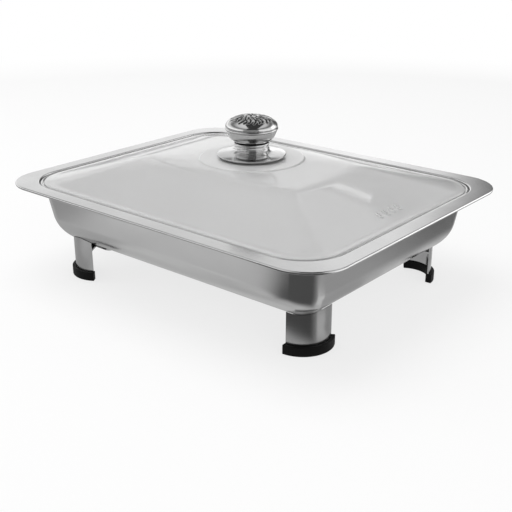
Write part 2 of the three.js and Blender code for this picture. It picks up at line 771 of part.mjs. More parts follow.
function addLeg(corner) {
  const group = new THREE.Group();
  const x = corner.signX * (flangeHalfLength - LEG_MARGIN_LENGTH);
  const y = corner.signY * (flangeHalfWidth - LEG_MARGIN_WIDTH);
  group.position.set(x, y, 0);
  group.rotation.z = corner.quarters * QUARTER;
  group.updateMatrix();
  dish.add(group);
  addPiece(`leg_${corner.name}`, legSolid(group.matrix), 'steel', group);
  addPiece(`foot_cap_${corner.name}`, footCap(), 'black', group);
  studPlaces.forEach(([across, along], number) => {
    const studTop = panBottom - SEAT_GAP;
    const stud = addPiece(
      `leg_stud_${corner.name}_${number + 1}`,
      rod(STUD_DIAMETER / 2, studTop - STUD_LENGTH, STUD_LENGTH),
      'zinc',
      group,
    );
    const fixing = addPiece(`leg_nut_${corner.name}_${number + 1}`, nut(), 'zinc', group);
    stud.position.set(across, along, 0);
    fixing.position.set(across, along, 0);
  });
}

addPiece('water_pan', waterPan(), 'steel');
addPiece('food_pan', foodPan(), 'steel');
addPiece('lid', ventedLid(), 'lid');
addKnob();
CORNERS.forEach(addLeg);

export default dish;
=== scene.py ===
# A rectangular chafing dish: drawn stainless-steel pans, a hazy moulded lid with a pressed steel knob,
# and four curved sheet legs in black foot caps. Sizes are in millimetres and meshes in metres, +Z up.

import math

import bmesh
import bpy
from mathutils import Matrix, Vector


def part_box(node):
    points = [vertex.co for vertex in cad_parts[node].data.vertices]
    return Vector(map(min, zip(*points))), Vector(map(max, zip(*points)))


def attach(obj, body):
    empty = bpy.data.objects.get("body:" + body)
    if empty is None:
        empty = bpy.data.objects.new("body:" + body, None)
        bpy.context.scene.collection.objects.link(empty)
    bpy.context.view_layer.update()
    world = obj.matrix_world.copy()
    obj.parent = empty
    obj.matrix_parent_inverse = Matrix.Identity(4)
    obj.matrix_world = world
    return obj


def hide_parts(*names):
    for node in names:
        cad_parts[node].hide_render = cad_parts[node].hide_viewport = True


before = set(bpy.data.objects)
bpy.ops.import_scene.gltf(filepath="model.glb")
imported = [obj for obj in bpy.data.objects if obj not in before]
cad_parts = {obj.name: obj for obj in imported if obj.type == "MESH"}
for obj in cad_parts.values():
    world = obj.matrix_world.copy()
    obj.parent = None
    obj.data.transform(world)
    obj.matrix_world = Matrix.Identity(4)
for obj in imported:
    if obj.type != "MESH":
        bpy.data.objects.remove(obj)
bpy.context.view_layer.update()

MM = 0.001
QUARTER = math.pi / 2
TURN = math.pi * 2

# The photograph's view, in metres and millimetres of lens
CAMERA_PLACE = Vector((0.4599, -0.5459, 0.3027))
CAMERA_AIM = Vector((-0.5944, 0.7130, -0.3720))
CAMERA_UP = Vector((-0.2382, 0.2857, 0.9283))
CAMERA_LENS = 61.0
CAMERA_SENSOR = 36.0

# Sheet and fits
PAN_SHEET = 1.2
FOOD_SHEET = 1
LEG_FIT = 0.3
SEAT_GAP = 0.1  # between faces that rest on each other

# Water pan
FLANGE_RADIUS = 34
HEM_HEIGHT = 2.4
HEM_WIDTH = 2.2
HEM_EDGE_BEND = 1  # where the flange turns down
MOUTH_MARGIN = 20.9
MOUTH_RADIUS = 19
MOUTH_BEND = 3
WALL_DRAFT = math.radians(8.2)
PAN_FILLET = 29.7
RECESS_MARGIN_LENGTH = 14
RECESS_MARGIN_WIDTH = 13.5
RECESS_RADIUS = 36
RECESS_DEPTH = 3.6
RECESS_BEND = 1.1
CORNER_SHARE = 0.5  # of a fillet's reach inwards, by which it tightens the pan's corners

# Food pan
FOOD_FILLET = 22
FOOD_CLEARANCE = 1.4
FOOD_BEND = 2.5
FOOD_BEAD = 1  # the rounding of the rolled bead along the rim's edge
FOOD_BEAD_RISE = 0.6
FOOD_BEAD_FOOT = 0.2

# Lid
LID_WALL = 2
LID_RADIUS = 35
LID_BORDER = 4.5
LID_EDGE_ROUNDING = 1.5
LID_RISE = 19.8
LID_FOOT_BLEND = 0.9
CROWN_LENGTH = 159
CROWN_WIDTH = 94
CROWN_BULGE = 11
CROWN_RADIUS = 6
CROWN_DOME = 2.1
CROWN_BLEND = 1.9
CROWN_EASE = 1.25
PLATEAU_RADIUS = 43.75
PLATEAU_SLOPE = 2.2
LIP_CLEARANCE = 1.2
LIP_DEPTH = 4.5
LIP_WALL = 1.8
LIP_RADIUS = 18
SCREW_HOLE_RADIUS = 2.9

# Vents
VENT_COUNT = 4
VENT_PITCH = 8.7
VENT_LENGTH = 5.4
VENT_WIDTH = 1.5
VENT_COLLAR = 0.9
VENT_RISE = 0.9
VENT_EDGE_DISTANCE = 17
VENT_COLLAR_SPREADS = (0.3, 0.3, 0.1, -0.1, -0.4)  # at each level from inside the lid up to the top

# Knob
KNOB_SHELL = 1.2
FOOT_BEVEL = 2.2
FOOT_EDGE = 2.4
FOOT_SHOULDER = 4.5  # from the foot's edge in to where its top climbs
FOOT_RISE = 3.4
NECK_RADIUS = 14.2
NECK_FILLET = 3
NECK_BEAD = 0.8
LOWER_BEAD_HEIGHT = 7.3
UPPER_BEAD_DROP = 1.5
SLEEVE_RADIUS = 12.6
CORE_RADIUS = 12.3
CORE_HOLE_RADIUS = 2.7
CORE_HOLE_DEPTH = 8.3
COLLAR_HEIGHT = 1.6
BOWL_FOOT_RADIUS = 16.2
BOWL_SHARES = [(0, 0), (0.14, 0.27), (0.33, 0.53), (0.64, 0.76), (1, 1)]  # of its height and its flare
RING_BEVEL = 0.7
GASKET_HOLE_RADIUS = 20
CAP_EDGE_HEIGHT = 0.5
CAP_EDGE_INSET = 0.4

# Screw
SCREW_HEAD_HEIGHT = 3.2
SCREW_HEAD_BEVEL = 1.6
SCREW_SHANK_RADIUS = 2.5
CROSS_LENGTH = 5.6
CROSS_WIDTH = 1.2
CROSS_DEPTH = 1.6

# Legs, foot caps and their fixings
LEG_SHIFT = 2.3
LEG_RADIUS = 22
LEG_SHEET = 1.2
LEG_INNER = LEG_RADIUS - LEG_SHEET
LEG_MIDDLE = math.radians(63)
LEG_SPAN = math.radians(117.5)
LEG_TRIM = 52
TAB_INWARD_X = 25
TAB_INWARD_Y = 35
TAB_OUTSIDE = 6
TAB_LAP = 8.2
TAB_THICKNESS = 1.5
TAB_RADIUS = 5
CAP_OUTER_WALL = 3
CAP_INNER_WALL = 1.1
CAP_END_WALL = 0.9
CAP_FLOOR = 2
CAP_ROUNDING = 1
THREAD_PITCH = 0.8
THREAD_DEPTH = 0.35
TIP_DEPTH = 1.6  # of the thread's depth, where the stud's tip tapers
NUT_FIT = 0.3
NUT_CHAMFER = 0.7
NUT_CHAMFER_SHARE = 0.93  # of half the nut's width, at its faces

# Fineness
CORNER_STEPS = 20
FILLET_STEPS = 16
BEND_STEPS = 6
LID_SIDE_STEPS = 26
LID_ROUNDING_STEPS = 4
LATHE_STEPS = 112
ARC_STEPS = 40

scene = bpy.context.scene


# Reading the frame

def box_mm(node):
    low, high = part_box(node)
    return low / MM, high / MM


water_low, water_high = box_mm("water_pan")
food_low, food_high = box_mm("food_pan")
lid_high = box_mm("lid")[1]
flange_top = water_high.z
ledge_height = flange_top - RECESS_DEPTH
food_rim_top = food_high.z
lid_edge_bottom = food_rim_top + SEAT_GAP
lid_edge_top = lid_edge_bottom + LID_WALL
plateau_top = lid_high.z


# Colours and material nodes

# The pressed ornament's depth at each point, which makes the cap's steel rougher and paints shade into its
# lines
PRESSED_DEPTH = "pressed_depth"
NOISE_RANGE = {"From Min": 0.3, "From Max": 0.7}  # where a noise texture mostly lies


def colour(code):
    """An sRGB hex value as linear red, green, blue and alpha."""
    parts = [int(code[i:i + 2], 16) / 255 for i in (0, 2, 4)]
    return [c / 12.92 if c <= 0.04045 else ((c + 0.055) / 1.055) ** 2.4 for c in parts] + [1.0]


def add_node(tree, kind, values=None, links=None, **settings):
    """Adds a node with its settings, its unlinked values and the sockets that feed it."""
    made = tree.nodes.new(kind)
    for name, value in settings.items():
        setattr(made, name, value)
    for name, value in (values or {}).items():
        made.inputs[name].default_value = value
    for name, source in (links or {}).items():
        tree.links.new(source, made.inputs[name])
    return made


def start_material(name):
    material = bpy.data.materials.new(name)
    material.use_nodes = True
    material.node_tree.nodes.clear()
    return material, material.node_tree


def per_mm(size):
    """The scale that gives a texture one cycle in this many millimetres."""
    return 1 / (size * MM)


# Rolled stainless steel, drawn and left satin: soft reflections with faint rolling lines along the
# sheet and slow waves where the press has stretched it.
def drawn_stainless(name, tints=("DCDCDC", "D3D3D3"), wave=0.9):
    material, tree = start_material(name)
    roughness = 0.2
    line_width = 2.2  # real rolling lines are finer, so these are drawn as coarse as they have to be
    line_length = 90
    line_depth = 0.1
    wave_length = 70
    cloud_size = 45
    long, fine = per_mm(line_length), per_mm(line_width)
    place = add_node(tree, "ShaderNodeTexCoord").outputs["Object"]
    rolled = []
    for stretch in ((long, long, fine), (long, fine, long)):
        lines_place = add_node(tree, "ShaderNodeMapping", {"Scale": stretch}, {"Vector": place})
        lines = add_node(tree, "ShaderNodeTexNoise", {"Scale": 1.0, "Detail": 2.0},
                         {"Vector": lines_place.outputs[0]})
        rolled.append(lines.outputs["Fac"])
    normal = add_node(tree, "ShaderNodeNewGeometry").outputs["Normal"]
    upright = add_node(tree, "ShaderNodeSeparateXYZ", links={0: normal}).outputs["Z"]
    level = add_node(tree, "ShaderNodeMath", links={0: upright}, operation="ABSOLUTE")
    lines = add_node(tree, "ShaderNodeMix",
                     links={"Factor": level.outputs[0], "A": rolled[0], "B": rolled[1]})
    clouds = add_node(tree, "ShaderNodeTexNoise", {"Scale": per_mm(cloud_size), "Detail": 4.0},
                      {"Vector": place})
    waves = add_node(tree, "ShaderNodeTexNoise", {"Scale": per_mm(wave_length), "Detail": 1.0},
                     {"Vector": place})
    mixed = add_node(tree, "ShaderNodeMath", {0: 0.5}, {1: lines.outputs[0], 2: clouds.outputs["Fac"]},
                     operation="MULTIPLY_ADD")
    rough = add_node(tree, "ShaderNodeMapRange", {
        "From Min": 0.45, "From Max": 1.05, "To Min": roughness * 0.8, "To Max": roughness * 1.25,
    }, {"Value": mixed.outputs[0]})
    tint = add_node(tree, "ShaderNodeMix", {6: colour(tints[0]), 7: colour(tints[1])},
                    {0: clouds.outputs["Fac"]}, data_type="RGBA")
    line_bump = add_node(tree, "ShaderNodeBump", {"Strength": 0.03, "Distance": line_depth * MM},
                         {"Height": lines.outputs[0]})
    wave_bump = add_node(tree, "ShaderNodeBump", {"Strength": 1.0, "Distance": wave * MM},
                         {"Height": waves.outputs["Fac"], "Normal": line_bump.outputs[0]})
    shader = add_node(tree, "ShaderNodeBsdfPrincipled", {"Metallic": 1.0}, {
        "Base Color": tint.outputs[2], "Roughness": rough.outputs[0], "Normal": wave_bump.outputs[0],
    })
    add_node(tree, "ShaderNodeOutputMaterial", links={"Surface": shader.outputs[0]})
    return material


# Polished stainless steel, pressed and buffed: near-mirror reflections with a light haze. Where the
# ornament is pressed in, the buffing has not reached and the lines are rougher; their dark colour is painted
# shade in the grooves.
def polished_stainless(name, pressed=False):
    material, tree = start_material(name)
    haze_size = 9
    scratch_length = 8
    scratch_width = 0.5  # buffing marks, drawn wider than real ones
    scratch_depth = 0.06
    pressed_roughness = 0.45
    place = add_node(tree, "ShaderNodeTexCoord").outputs["Object"]
    haze = add_node(tree, "ShaderNodeTexNoise", {"Scale": per_mm(haze_size), "Detail": 5.0},
                    {"Vector": place})
    stretch = (per_mm(scratch_length), per_mm(scratch_length), per_mm(scratch_width))
    marks_place = add_node(tree, "ShaderNodeMapping", {"Scale": stretch}, {"Vector": place})
    marks = add_node(tree, "ShaderNodeTexNoise", {"Scale": 1.0, "Detail": 2.0},
                     {"Vector": marks_place.outputs[0]})
    rough = add_node(tree, "ShaderNodeMapRange", {**NOISE_RANGE, "To Min": 0.1, "To Max": 0.2},
                     {"Value": haze.outputs["Fac"]}).outputs[0]
    tint = add_node(tree, "ShaderNodeMix", {6: colour("D6D6D6"), 7: colour("C9C9C9")},
                    {0: haze.outputs["Fac"]}, data_type="RGBA").outputs[2]
    bump = add_node(tree, "ShaderNodeBump", {"Strength": 0.08, "Distance": scratch_depth * MM},
                    {"Height": marks.outputs["Fac"]})
    # Painted shade: the pressed lines are darkened towards 2B2B2B by their depth, and made rougher
    if pressed:
        depth = add_node(tree, "ShaderNodeAttribute", attribute_name=PRESSED_DEPTH).outputs["Fac"]
        tint = add_node(tree, "ShaderNodeMix", {7: colour("2B2B2B")}, {0: depth, 6: tint},
                        data_type="RGBA").outputs[2]
        rough = add_node(tree, "ShaderNodeMix", {"B": pressed_roughness},
                         {"Factor": depth, "A": rough}).outputs[0]
    shader = add_node(tree, "ShaderNodeBsdfPrincipled", {"Metallic": 1.0}, {
        "Base Color": tint, "Roughness": rough, "Normal": bump.outputs[0],
    })
    add_node(tree, "ShaderNodeOutputMaterial", links={"Surface": shader.outputs[0]})
    return material


def mottled_material(name, settings, clouds, tints, roughness=None, relief=None):
    """A material with clouds in its colour, its roughness and its relief.

    The clouds are named and given as (size in millimetres, detail). The tints are (cloud, colour, colour),
    the roughness (cloud, lowest, highest) and the relief (cloud, depth in millimetres, strength).
    """
    material, tree = start_material(name)
    place = add_node(tree, "ShaderNodeTexCoord").outputs["Object"]
    fields = {}
    for field, (size, detail) in clouds.items():
        noise = add_node(tree, "ShaderNodeTexNoise", {"Scale": per_mm(size), "Detail": detail},
                         {"Vector": place})
        fields[field] = noise.outputs["Fac"]
    field, first, second = tints
    tint = add_node(tree, "ShaderNodeMix", {6: colour(first), 7: colour(second)}, {0: fields[field]},
                    data_type="RGBA")
    links = {"Base Color": tint.outputs[2]}
    if roughness is not None:
        field, low, high = roughness
        rough = add_node(tree, "ShaderNodeMapRange", {**NOISE_RANGE, "To Min": low, "To Max": high},
                         {"Value": fields[field]})
        links["Roughness"] = rough.outputs[0]
    if relief is not None:
        field, depth, strength = relief
        bump = add_node(tree, "ShaderNodeBump", {"Strength": strength, "Distance": depth * MM},
                        {"Height": fields[field]})
        links["Normal"] = bump.outputs[0]
    shader = add_node(tree, "ShaderNodeBsdfPrincipled", settings, links)
    add_node(tree, "ShaderNodeOutputMaterial", links={"Surface": shader.outputs[0]})
    return material


# Polycarbonate, injection moulded: glossy outside, with a milky haze in its thickness and faint
# shrink waves that bend its reflections.
def hazy_polycarbonate(name):
    glow_depth = 5
    return mottled_material(
        name,
        {
            "IOR": 1.585, "Subsurface Weight": 0.8, "Subsurface Radius": (1, 1, 1),
            "Subsurface Scale": glow_depth * MM,
        },
        {"haze": (120, 2.0), "smears": (14, 5.0), "shrink": (55, 0.0)},
        tints=("haze", "CACACA", "C3C3C3"),
        roughness=("smears", 0.035, 0.06),
        relief=("shrink", 0.2, 0.5),
    )


# Polypropylene or phenolic, moulded black: a dull sheen with a fine grain from the mould.
def moulded_black(name, code, roughness):
    return mottled_material(
        name,
        {"Specular IOR Level": 0.12},
        {"grain": (0.8, 2.0), "scuffs": (7, 6.0)},
        tints=("scuffs", code, "121212"),
        roughness=("scuffs", roughness - 0.06, roughness + 0.08),
        relief=("grain", 0.08, 0.25),
    )


# Silicone rubber, moulded: pale, soft and matte, with a bloom of dust.
def pale_silicone(name):
    return mottled_material(
        name,
        {"Roughness": 0.55},
        {"bloom": (3, 4.0)},
        tints=("bloom", "D0D1CF", "BEBFBD"),
        relief=("bloom", 0.05, 0.2),
    )


# Zinc-plated steel: a cooler grey than stainless, clouded by the plating bath.
def zinc_plate(name):
    return mottled_material(
        name,
        {"Metallic": 1.0},
        {"bath": (2.5, 4.0)},
        tints=("bath", "AEB1B4", "94979B"),
        roughness=("bath", 0.26, 0.42),
    )


pan_steel = drawn_stainless("drawn_stainless_pan")
# The legs' steel is tinted darker than the pan's, as painted shade for their dimmer reflections
leg_steel = drawn_stainless("drawn_stainless_leg", tints=("C2C2C2", "B8B8B8"), wave=0.2)
knob_steel = polished_stainless("polished_stainless_knob")
pressed_steel = polished_stainless("pressed_stainless_knob_cap", pressed=True)
lid_plastic = hazy_polycarbonate("hazy_polycarbonate_lid")
cap_black = moulded_black("moulded_black_foot_cap", "0B0B0B", 0.5)
core_black = moulded_black("moulded_black_core", "0A0A0A", 0.4)
silicone = pale_silicone("pale_silicone_washer")
zinc = zinc_plate("zinc_plate_fixing")


# Meshes

def make_mesh(name, points, faces):
    """A linked object from points in millimetres, with its doubles merged and its faces outwards."""
    mesh = bpy.data.meshes.new(name)
    mesh.from_pydata([Vector(point) * MM for point in points], [], faces)
    work = bmesh.new()
    work.from_mesh(mesh)
    bmesh.ops.remove_doubles(work, verts=work.verts, dist=1e-6)
    bmesh.ops.recalc_face_normals(work, faces=work.faces)
    work.to_mesh(mesh)
    work.free()
    piece = bpy.data.objects.new(name, mesh)
    scene.collection.objects.link(piece)
    return piece


def dress(piece, material, body, replaced, sharp=38, weighted=True):
    """Shades a piece, gives it its material, sets what it rides on and hides the parts that it stands for."""
    piece.data.materials.clear()
    piece.data.materials.append(material)
    piece.data.shade_smooth()
    piece.data.set_sharp_from_angle(angle=math.radians(sharp))
    if weighted:
        piece.modifiers.new("even_normals", "WEIGHTED_NORMAL").keep_sharp = True
    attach(piece, body)
    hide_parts(*replaced)


def combine(piece, other, operation):
    """Joins or cuts one closed mesh with another, which is used up."""
    modifier = piece.modifiers.new("combine", "BOOLEAN")
    modifier.object = other
    modifier.operation = operation
    modifier.solver = "EXACT"
    bpy.context.view_layer.update()
    result = piece.evaluated_get(bpy.context.evaluated_depsgraph_get())
    mesh = bpy.data.meshes.new_from_object(result)
    piece.modifiers.clear()
    piece.data = mesh
    bpy.data.objects.remove(other)


def loft(name, rings, ends="capped"):
    """Joins rings of points. Its two ends are capped, joined to each other or left as they are."""
    count = len(rings[0])
    points = [point for ring in rings for point in ring]
    faces = []
    for band in range(len(rings) if ends == "joined" else len(rings) - 1):
        low = band * count
        high = ((band + 1) % len(rings)) * count
        for i in range(count):
            j = (i + 1) % count
            faces.append((low + i, low + j, high + j, high + i))
    if ends == "capped":
        last = (len(rings) - 1) * count
        faces.append(tuple(range(count)))
        faces.append(tuple(range(last, last + count)))
    return make_mesh(name, points, faces)


def rectangle_ring(half_x, half_y, radius, height, bow=0.0, side_steps=0):
    """Points round a rounded rectangle whose long sides can bow out in their middle."""
    points = []
    for corner in range(4):
        sign_x = (1, -1, -1, 1)[corner]
        sign_y = (1, 1, -1, -1)[corner]
        for step in range(CORNER_STEPS + 1):
            angle = (corner + step / CORNER_STEPS) * QUARTER
            x = sign_x * (half_x - radius) + radius * math.cos(angle)
            y = sign_y * (half_y - radius) + radius * math.sin(angle)
            points.append((x, y))
        x, y = points[-1]
        for step in range(1, side_steps + 1):
            along = 1 - 2 * step / (side_steps + 1)
            points.append((x * along, y) if corner % 2 == 0 else (x, y * along))
    bowed = [(x, y * (1 + bow / half_y * (1 - (x / half_x) ** 2))) for x, y in points]
    return [(x, y, height) for x, y in bowed]


def circle_ring(radius, height, side_steps=0):
    """Points round a circle that match those of a rounded rectangle with the same steps."""
    per_quarter = CORNER_STEPS + 1 + side_steps
    points = []
    for corner in range(4):
        for step in range(per_quarter):
            angle = QUARTER * (corner + 0.5 + (step - CORNER_STEPS / 2) / per_quarter)
            points.append((radius * math.cos(angle), radius * math.sin(angle), height))
    return points


def softened(corners, steps=5, closed=True):
    """Rounds an outline given as (across, height, rounding) by a short curve at each corner."""
    path = []
    count = len(corners)
    for i, (across, height, rounding) in enumerate(corners):
        here = Vector((across, height))
        at_end = not closed and i in (0, count - 1)
        if rounding == 0 or at_end:
            path.append((across, height))
            continue
        before = Vector(corners[i - 1][:2])
        after = Vector(corners[(i + 1) % count][:2])
        start = here + (before - here).normalized() * rounding
        end = here + (after - here).normalized() * rounding
        for step in range(steps + 1):
            t = step / steps
            point = start * (1 - t) ** 2 + here * 2 * t * (1 - t) + end * t ** 2
            path.append((point.x, point.y))
    return path


def flat_circle(radius, height, steps):
    angles = [TURN * i / steps for i in range(steps)]
    return [(radius * math.cos(angle), radius * math.sin(angle), height) for angle in angles]


def lathe(name, outline, steps=LATHE_STEPS, closed=True):
    """Turns an outline of (radius, height) about Z. An open outline starts and ends on the axis."""
    rings = [flat_circle(radius, height, steps) for radius, height in outline]
    return loft(name, rings, "joined" if closed else "open")


def prism(name, outline, bottom, top, place=None):
    """A flat outline of (x, y) points drawn up from bottom to top, then put in its place."""
    count = len(outline)
    points = [(x, y, bottom) for x, y in outline] + [(x, y, top) for x, y in outline]
    faces = [tuple(range(count)), tuple(range(count, count * 2))]
    for i in range(count):
        j = (i + 1) % count
        faces.append((i, j, count + j, count + i))
    if place is not None:
        points = [place @ Vector(point) for point in points]
    return make_mesh(name, points, faces)


# The two pans

def bowl_rings(bowl, offset, top_depth):
    """Rings of a drawn bowl from the edge of its flat bottom up its wall, offset out of the sheet."""
    half_x, half_y, radius, depth, fillet = bowl
    level = depth - fillet
    fillet_inset = level * math.tan(WALL_DRAFT) + fillet / math.cos(WALL_DRAFT)
    wall_inset = fillet_inset - fillet * math.cos(WALL_DRAFT)
    rings = []
    for step in range(FILLET_STEPS + 1):
        angle = QUARTER - (QUARTER - WALL_DRAFT) * step / FILLET_STEPS
        inset = fillet_inset - (fillet + offset) * math.cos(angle)
        corner_inset = fillet_inset - fillet * math.cos(angle) - wall_inset
        height = flange_top - level - (fillet + offset) * math.sin(angle)
        corner = radius - corner_inset * CORNER_SHARE + offset
        rings.append(rectangle_ring(half_x - inset, half_y - inset, corner, height))
    inset = top_depth * math.tan(WALL_DRAFT) - offset / math.cos(WALL_DRAFT)
    rings.append(rectangle_ring(half_x - inset, half_y - inset, radius + offset, flange_top - top_depth))
    return rings


def mouth_bend(bowl, shell, shelf_depth, bend, radius):
    """Rings of the bend from the wall out to the shelf, as far from the bend's centre as radius."""
    half_x, half_y, corner, _, _ = bowl
    depth = shelf_depth + bend
    tangent_depth = depth - bend * math.sin(WALL_DRAFT)
    wall_inset = tangent_depth * math.tan(WALL_DRAFT) + shell / math.cos(WALL_DRAFT)
    centre_inset = wall_inset - bend * math.cos(WALL_DRAFT)
    rings = []
    for step in range(BEND_STEPS + 1):
        angle = WALL_DRAFT + (QUARTER - WALL_DRAFT) * step / BEND_STEPS
        inset = centre_inset + radius * math.cos(angle)
        height = flange_top - depth + radius * math.sin(angle)
        rings.append(rectangle_ring(half_x - inset, half_y - inset, corner, height))
    return rings


def arc_rings(base, centre, radius, start, end, steps=BEND_STEPS):
    """Rings along an arc drawn in (inset, height) inside a base rectangle. Angles are in degrees."""
    half_x, half_y, corner = base
    rings = []
    for step in range(steps + 1):
        angle = math.radians(start + (end - start) * step / steps)
        inset = centre[0] + radius * math.cos(angle)
        height = centre[1] + radius * math.sin(angle)
        rings.append(rectangle_ring(half_x - inset, half_y - inset, max(corner - inset, 0.5), height))
    return rings


water_bowl = (
    water_high.x - MOUTH_MARGIN,
    water_high.y - MOUTH_MARGIN,
    MOUTH_RADIUS,
    flange_top - water_low.z,
    PAN_FILLET,
)
food_inset = (PAN_SHEET + FOOD_CLEARANCE) / math.cos(WALL_DRAFT)
food_bowl = (
    water_bowl[0] - food_inset,
    water_bowl[1] - food_inset,
    MOUTH_RADIUS - food_inset,
    flange_top - food_low.z,
    FOOD_FILLET,
)
flange_base = (water_high.x, water_high.y, FLANGE_RADIUS)
recess_base = (water_high.x - RECESS_MARGIN_LENGTH, water_high.y - RECESS_MARGIN_WIDTH, RECESS_RADIUS)


def build_water_pan():
    bend = RECESS_BEND
    ledge_under = RECESS_DEPTH + PAN_SHEET
    hem = HEM_WIDTH / 2
    edge_bend = HEM_EDGE_BEND
    top = flange_top
    inner_depth = RECESS_DEPTH + MOUTH_BEND
    outside = bowl_rings(water_bowl, 0, inner_depth + PAN_SHEET)[:-1]
    outside += mouth_bend(water_bowl, PAN_SHEET, RECESS_DEPTH, MOUTH_BEND, MOUTH_BEND - PAN_SHEET)
    outside += arc_rings(recess_base, (bend, top - RECESS_DEPTH + bend), bend + PAN_SHEET, 270, 180)
    outside += arc_rings(recess_base, (-PAN_SHEET - bend, top - PAN_SHEET - bend), bend, 0, 90)
    edge = arc_rings(flange_base, (HEM_WIDTH + bend, top - PAN_SHEET - bend / 2), bend / 2, 90, 180)
    edge += arc_rings(flange_base, (hem, top - HEM_HEIGHT + hem), hem, 360, 180, BEND_STEPS * 2)
    edge += arc_rings(flange_base, (edge_bend, top - edge_bend), edge_bend, 180, 90)
    inside = arc_rings(recess_base, (-bend, top - bend), bend, 90, 0)
    inside += arc_rings(recess_base, (bend, ledge_height + bend), bend, 180, 270)
    inside += mouth_bend(water_bowl, PAN_SHEET, RECESS_DEPTH, MOUTH_BEND, MOUTH_BEND)[::-1]
    inside += bowl_rings(water_bowl, -PAN_SHEET, ledge_under)[:-1][::-1]
    piece = loft("water_pan_sheet", outside + edge + inside)
    dress(piece, pan_steel, "dish", ["water_pan"])


def build_food_pan():
    rim_base = (food_high.x, food_high.y, RECESS_RADIUS - (recess_base[0] - food_high.x))
    shelf_depth = flange_top - food_rim_top
    edge = FOOD_SHEET / 2
    bead = FOOD_BEAD
    outside = bowl_rings(food_bowl, 0, shelf_depth + FOOD_BEND)[:-1]
    outside += mouth_bend(food_bowl, FOOD_SHEET, shelf_depth, FOOD_BEND, FOOD_BEND - FOOD_SHEET)
    rim = arc_rings(rim_base, (edge, food_rim_top - edge), edge, 270, 180)
    rim += arc_rings(rim_base, (bead, food_rim_top + FOOD_BEAD_RISE), bead, 180, 0, BEND_STEPS * 2)
    foot = (2 * bead + FOOD_BEAD_FOOT, food_rim_top + FOOD_BEAD_FOOT)
    rim += arc_rings(rim_base, foot, FOOD_BEAD_FOOT, 180, 270)
    inside = mouth_bend(food_bowl, FOOD_SHEET, shelf_depth, FOOD_BEND, FOOD_BEND)[::-1]
    inside += bowl_rings(food_bowl, -FOOD_SHEET, shelf_depth)[:-1][::-1]
    piece = loft("food_pan_sheet", outside + rim + inside)
    dress(piece, pan_steel, "food_pan", ["food_pan"])


# The lid

def smooth_low(a, b, blend):
    """The lower of two heights, with the crease between them rounded."""
    near = max(blend - abs(a - b), 0) / blend
    return min(a, b) - near * near * blend / 4


def smooth_high(a, b, blend):
    return -smooth_low(-a, -b, blend)


def lid_ring(inset, height):
    return rectangle_ring(
        lid_high.x - inset, lid_high.y - inset, LID_RADIUS - inset, height, side_steps=LID_SIDE_STEPS,
    )


def lid_slope():
    run = lid_high.x - LID_BORDER - CROWN_LENGTH / 2
    return LID_RISE / run


def lid_top_rings():
    """Rings of the lid's top face from its edge to the hole for the screw."""
    border = lid_ring(LID_BORDER, 0)
    crown = rectangle_ring(
        CROWN_LENGTH / 2, CROWN_WIDTH / 2, CROWN_RADIUS, 0, CROWN_BULGE, LID_SIDE_STEPS,
    )
    foot_radius = PLATEAU_RADIUS + PLATEAU_SLOPE
    seat = circle_ring(foot_radius, 0, LID_SIDE_STEPS)
    runs = [math.dist(a, b) for a, b in zip(border, crown)]
    reaches = [math.dist(a, b) for a, b in zip(crown, seat)]
    crown_height = lid_edge_top + LID_RISE

    def height(i, along):
        """Height on line i, where along is 0 at the border, 1 at the crown's edge and 2 at the seat."""
        run, reach = runs[i], reaches[i]
        inward = (along - 1) * (run if along < 1 else reach)
        hip = crown_height + LID_RISE * inward / run
        start_slope = CROWN_DOME * CROWN_EASE / reach
        share = min(max(inward / reach, 0), 1)
        dome = crown_height + CROWN_DOME * (1 - (1 - share) ** CROWN_EASE)
        dome += min(inward, 0) * start_slope
        return smooth_high(lid_edge_top, smooth_low(hip, dome, CROWN_BLEND), LID_FOOT_BLEND)

    def row(along):
        first, second = (border, crown) if along < 1 else (crown, seat)
        share = along if along < 1 else along - 1
        points = []
        for i, (a, b) in enumerate(zip(first, second)):
            x = a[0] + (b[0] - a[0]) * share
            y = a[1] + (b[1] - a[1]) * share
            points.append((x, y, height(i, along)))
        return points

    rounding = LID_EDGE_ROUNDING
    rings = []
    for step in range(LID_ROUNDING_STEPS):
        angle = QUARTER * step / LID_ROUNDING_STEPS
        rings.append(lid_ring(rounding * (1 - math.cos(angle)),
                              lid_edge_top - rounding * (1 - math.sin(angle))))
    slope = lid_slope()
    for inset in (rounding, LID_BORDER * 0.4, LID_BORDER * 0.65, LID_BORDER * 0.85):
        rise = smooth_high(0, slope * (inset - LID_BORDER), LID_FOOT_BLEND)
        rings.append(lid_ring(inset, lid_edge_top + rise))
    hip_shares = [0, 0.012, 0.024, 0.036, 0.05, 0.07] + [0.1 + 0.05 * i for i in range(15)]
    hip_shares += [0.82 + 0.02 * i for i in range(9)]
    rings += [row(share) for share in hip_shares]
    crown_rows = 20
    rings += [row(1 + step / crown_rows) for step in range(crown_rows + 1)]
    top_start = rings[-1][0][2]
    seat_rows = 10
    for step in range(1, seat_rows + 1):
        share = step / seat_rows
        eased = share * share * (3 - 2 * share)
        climbed = top_start + (plateau_top - top_start) * eased
        rings.append(circle_ring(foot_radius - PLATEAU_SLOPE * share, climbed, LID_SIDE_STEPS))
    for radius in (PLATEAU_RADIUS * 0.8, PLATEAU_RADIUS * 0.5, PLATEAU_RADIUS * 0.2, SCREW_HOLE_RADIUS):
        rings.append(circle_ring(radius, plateau_top, LID_SIDE_STEPS))
    return rings


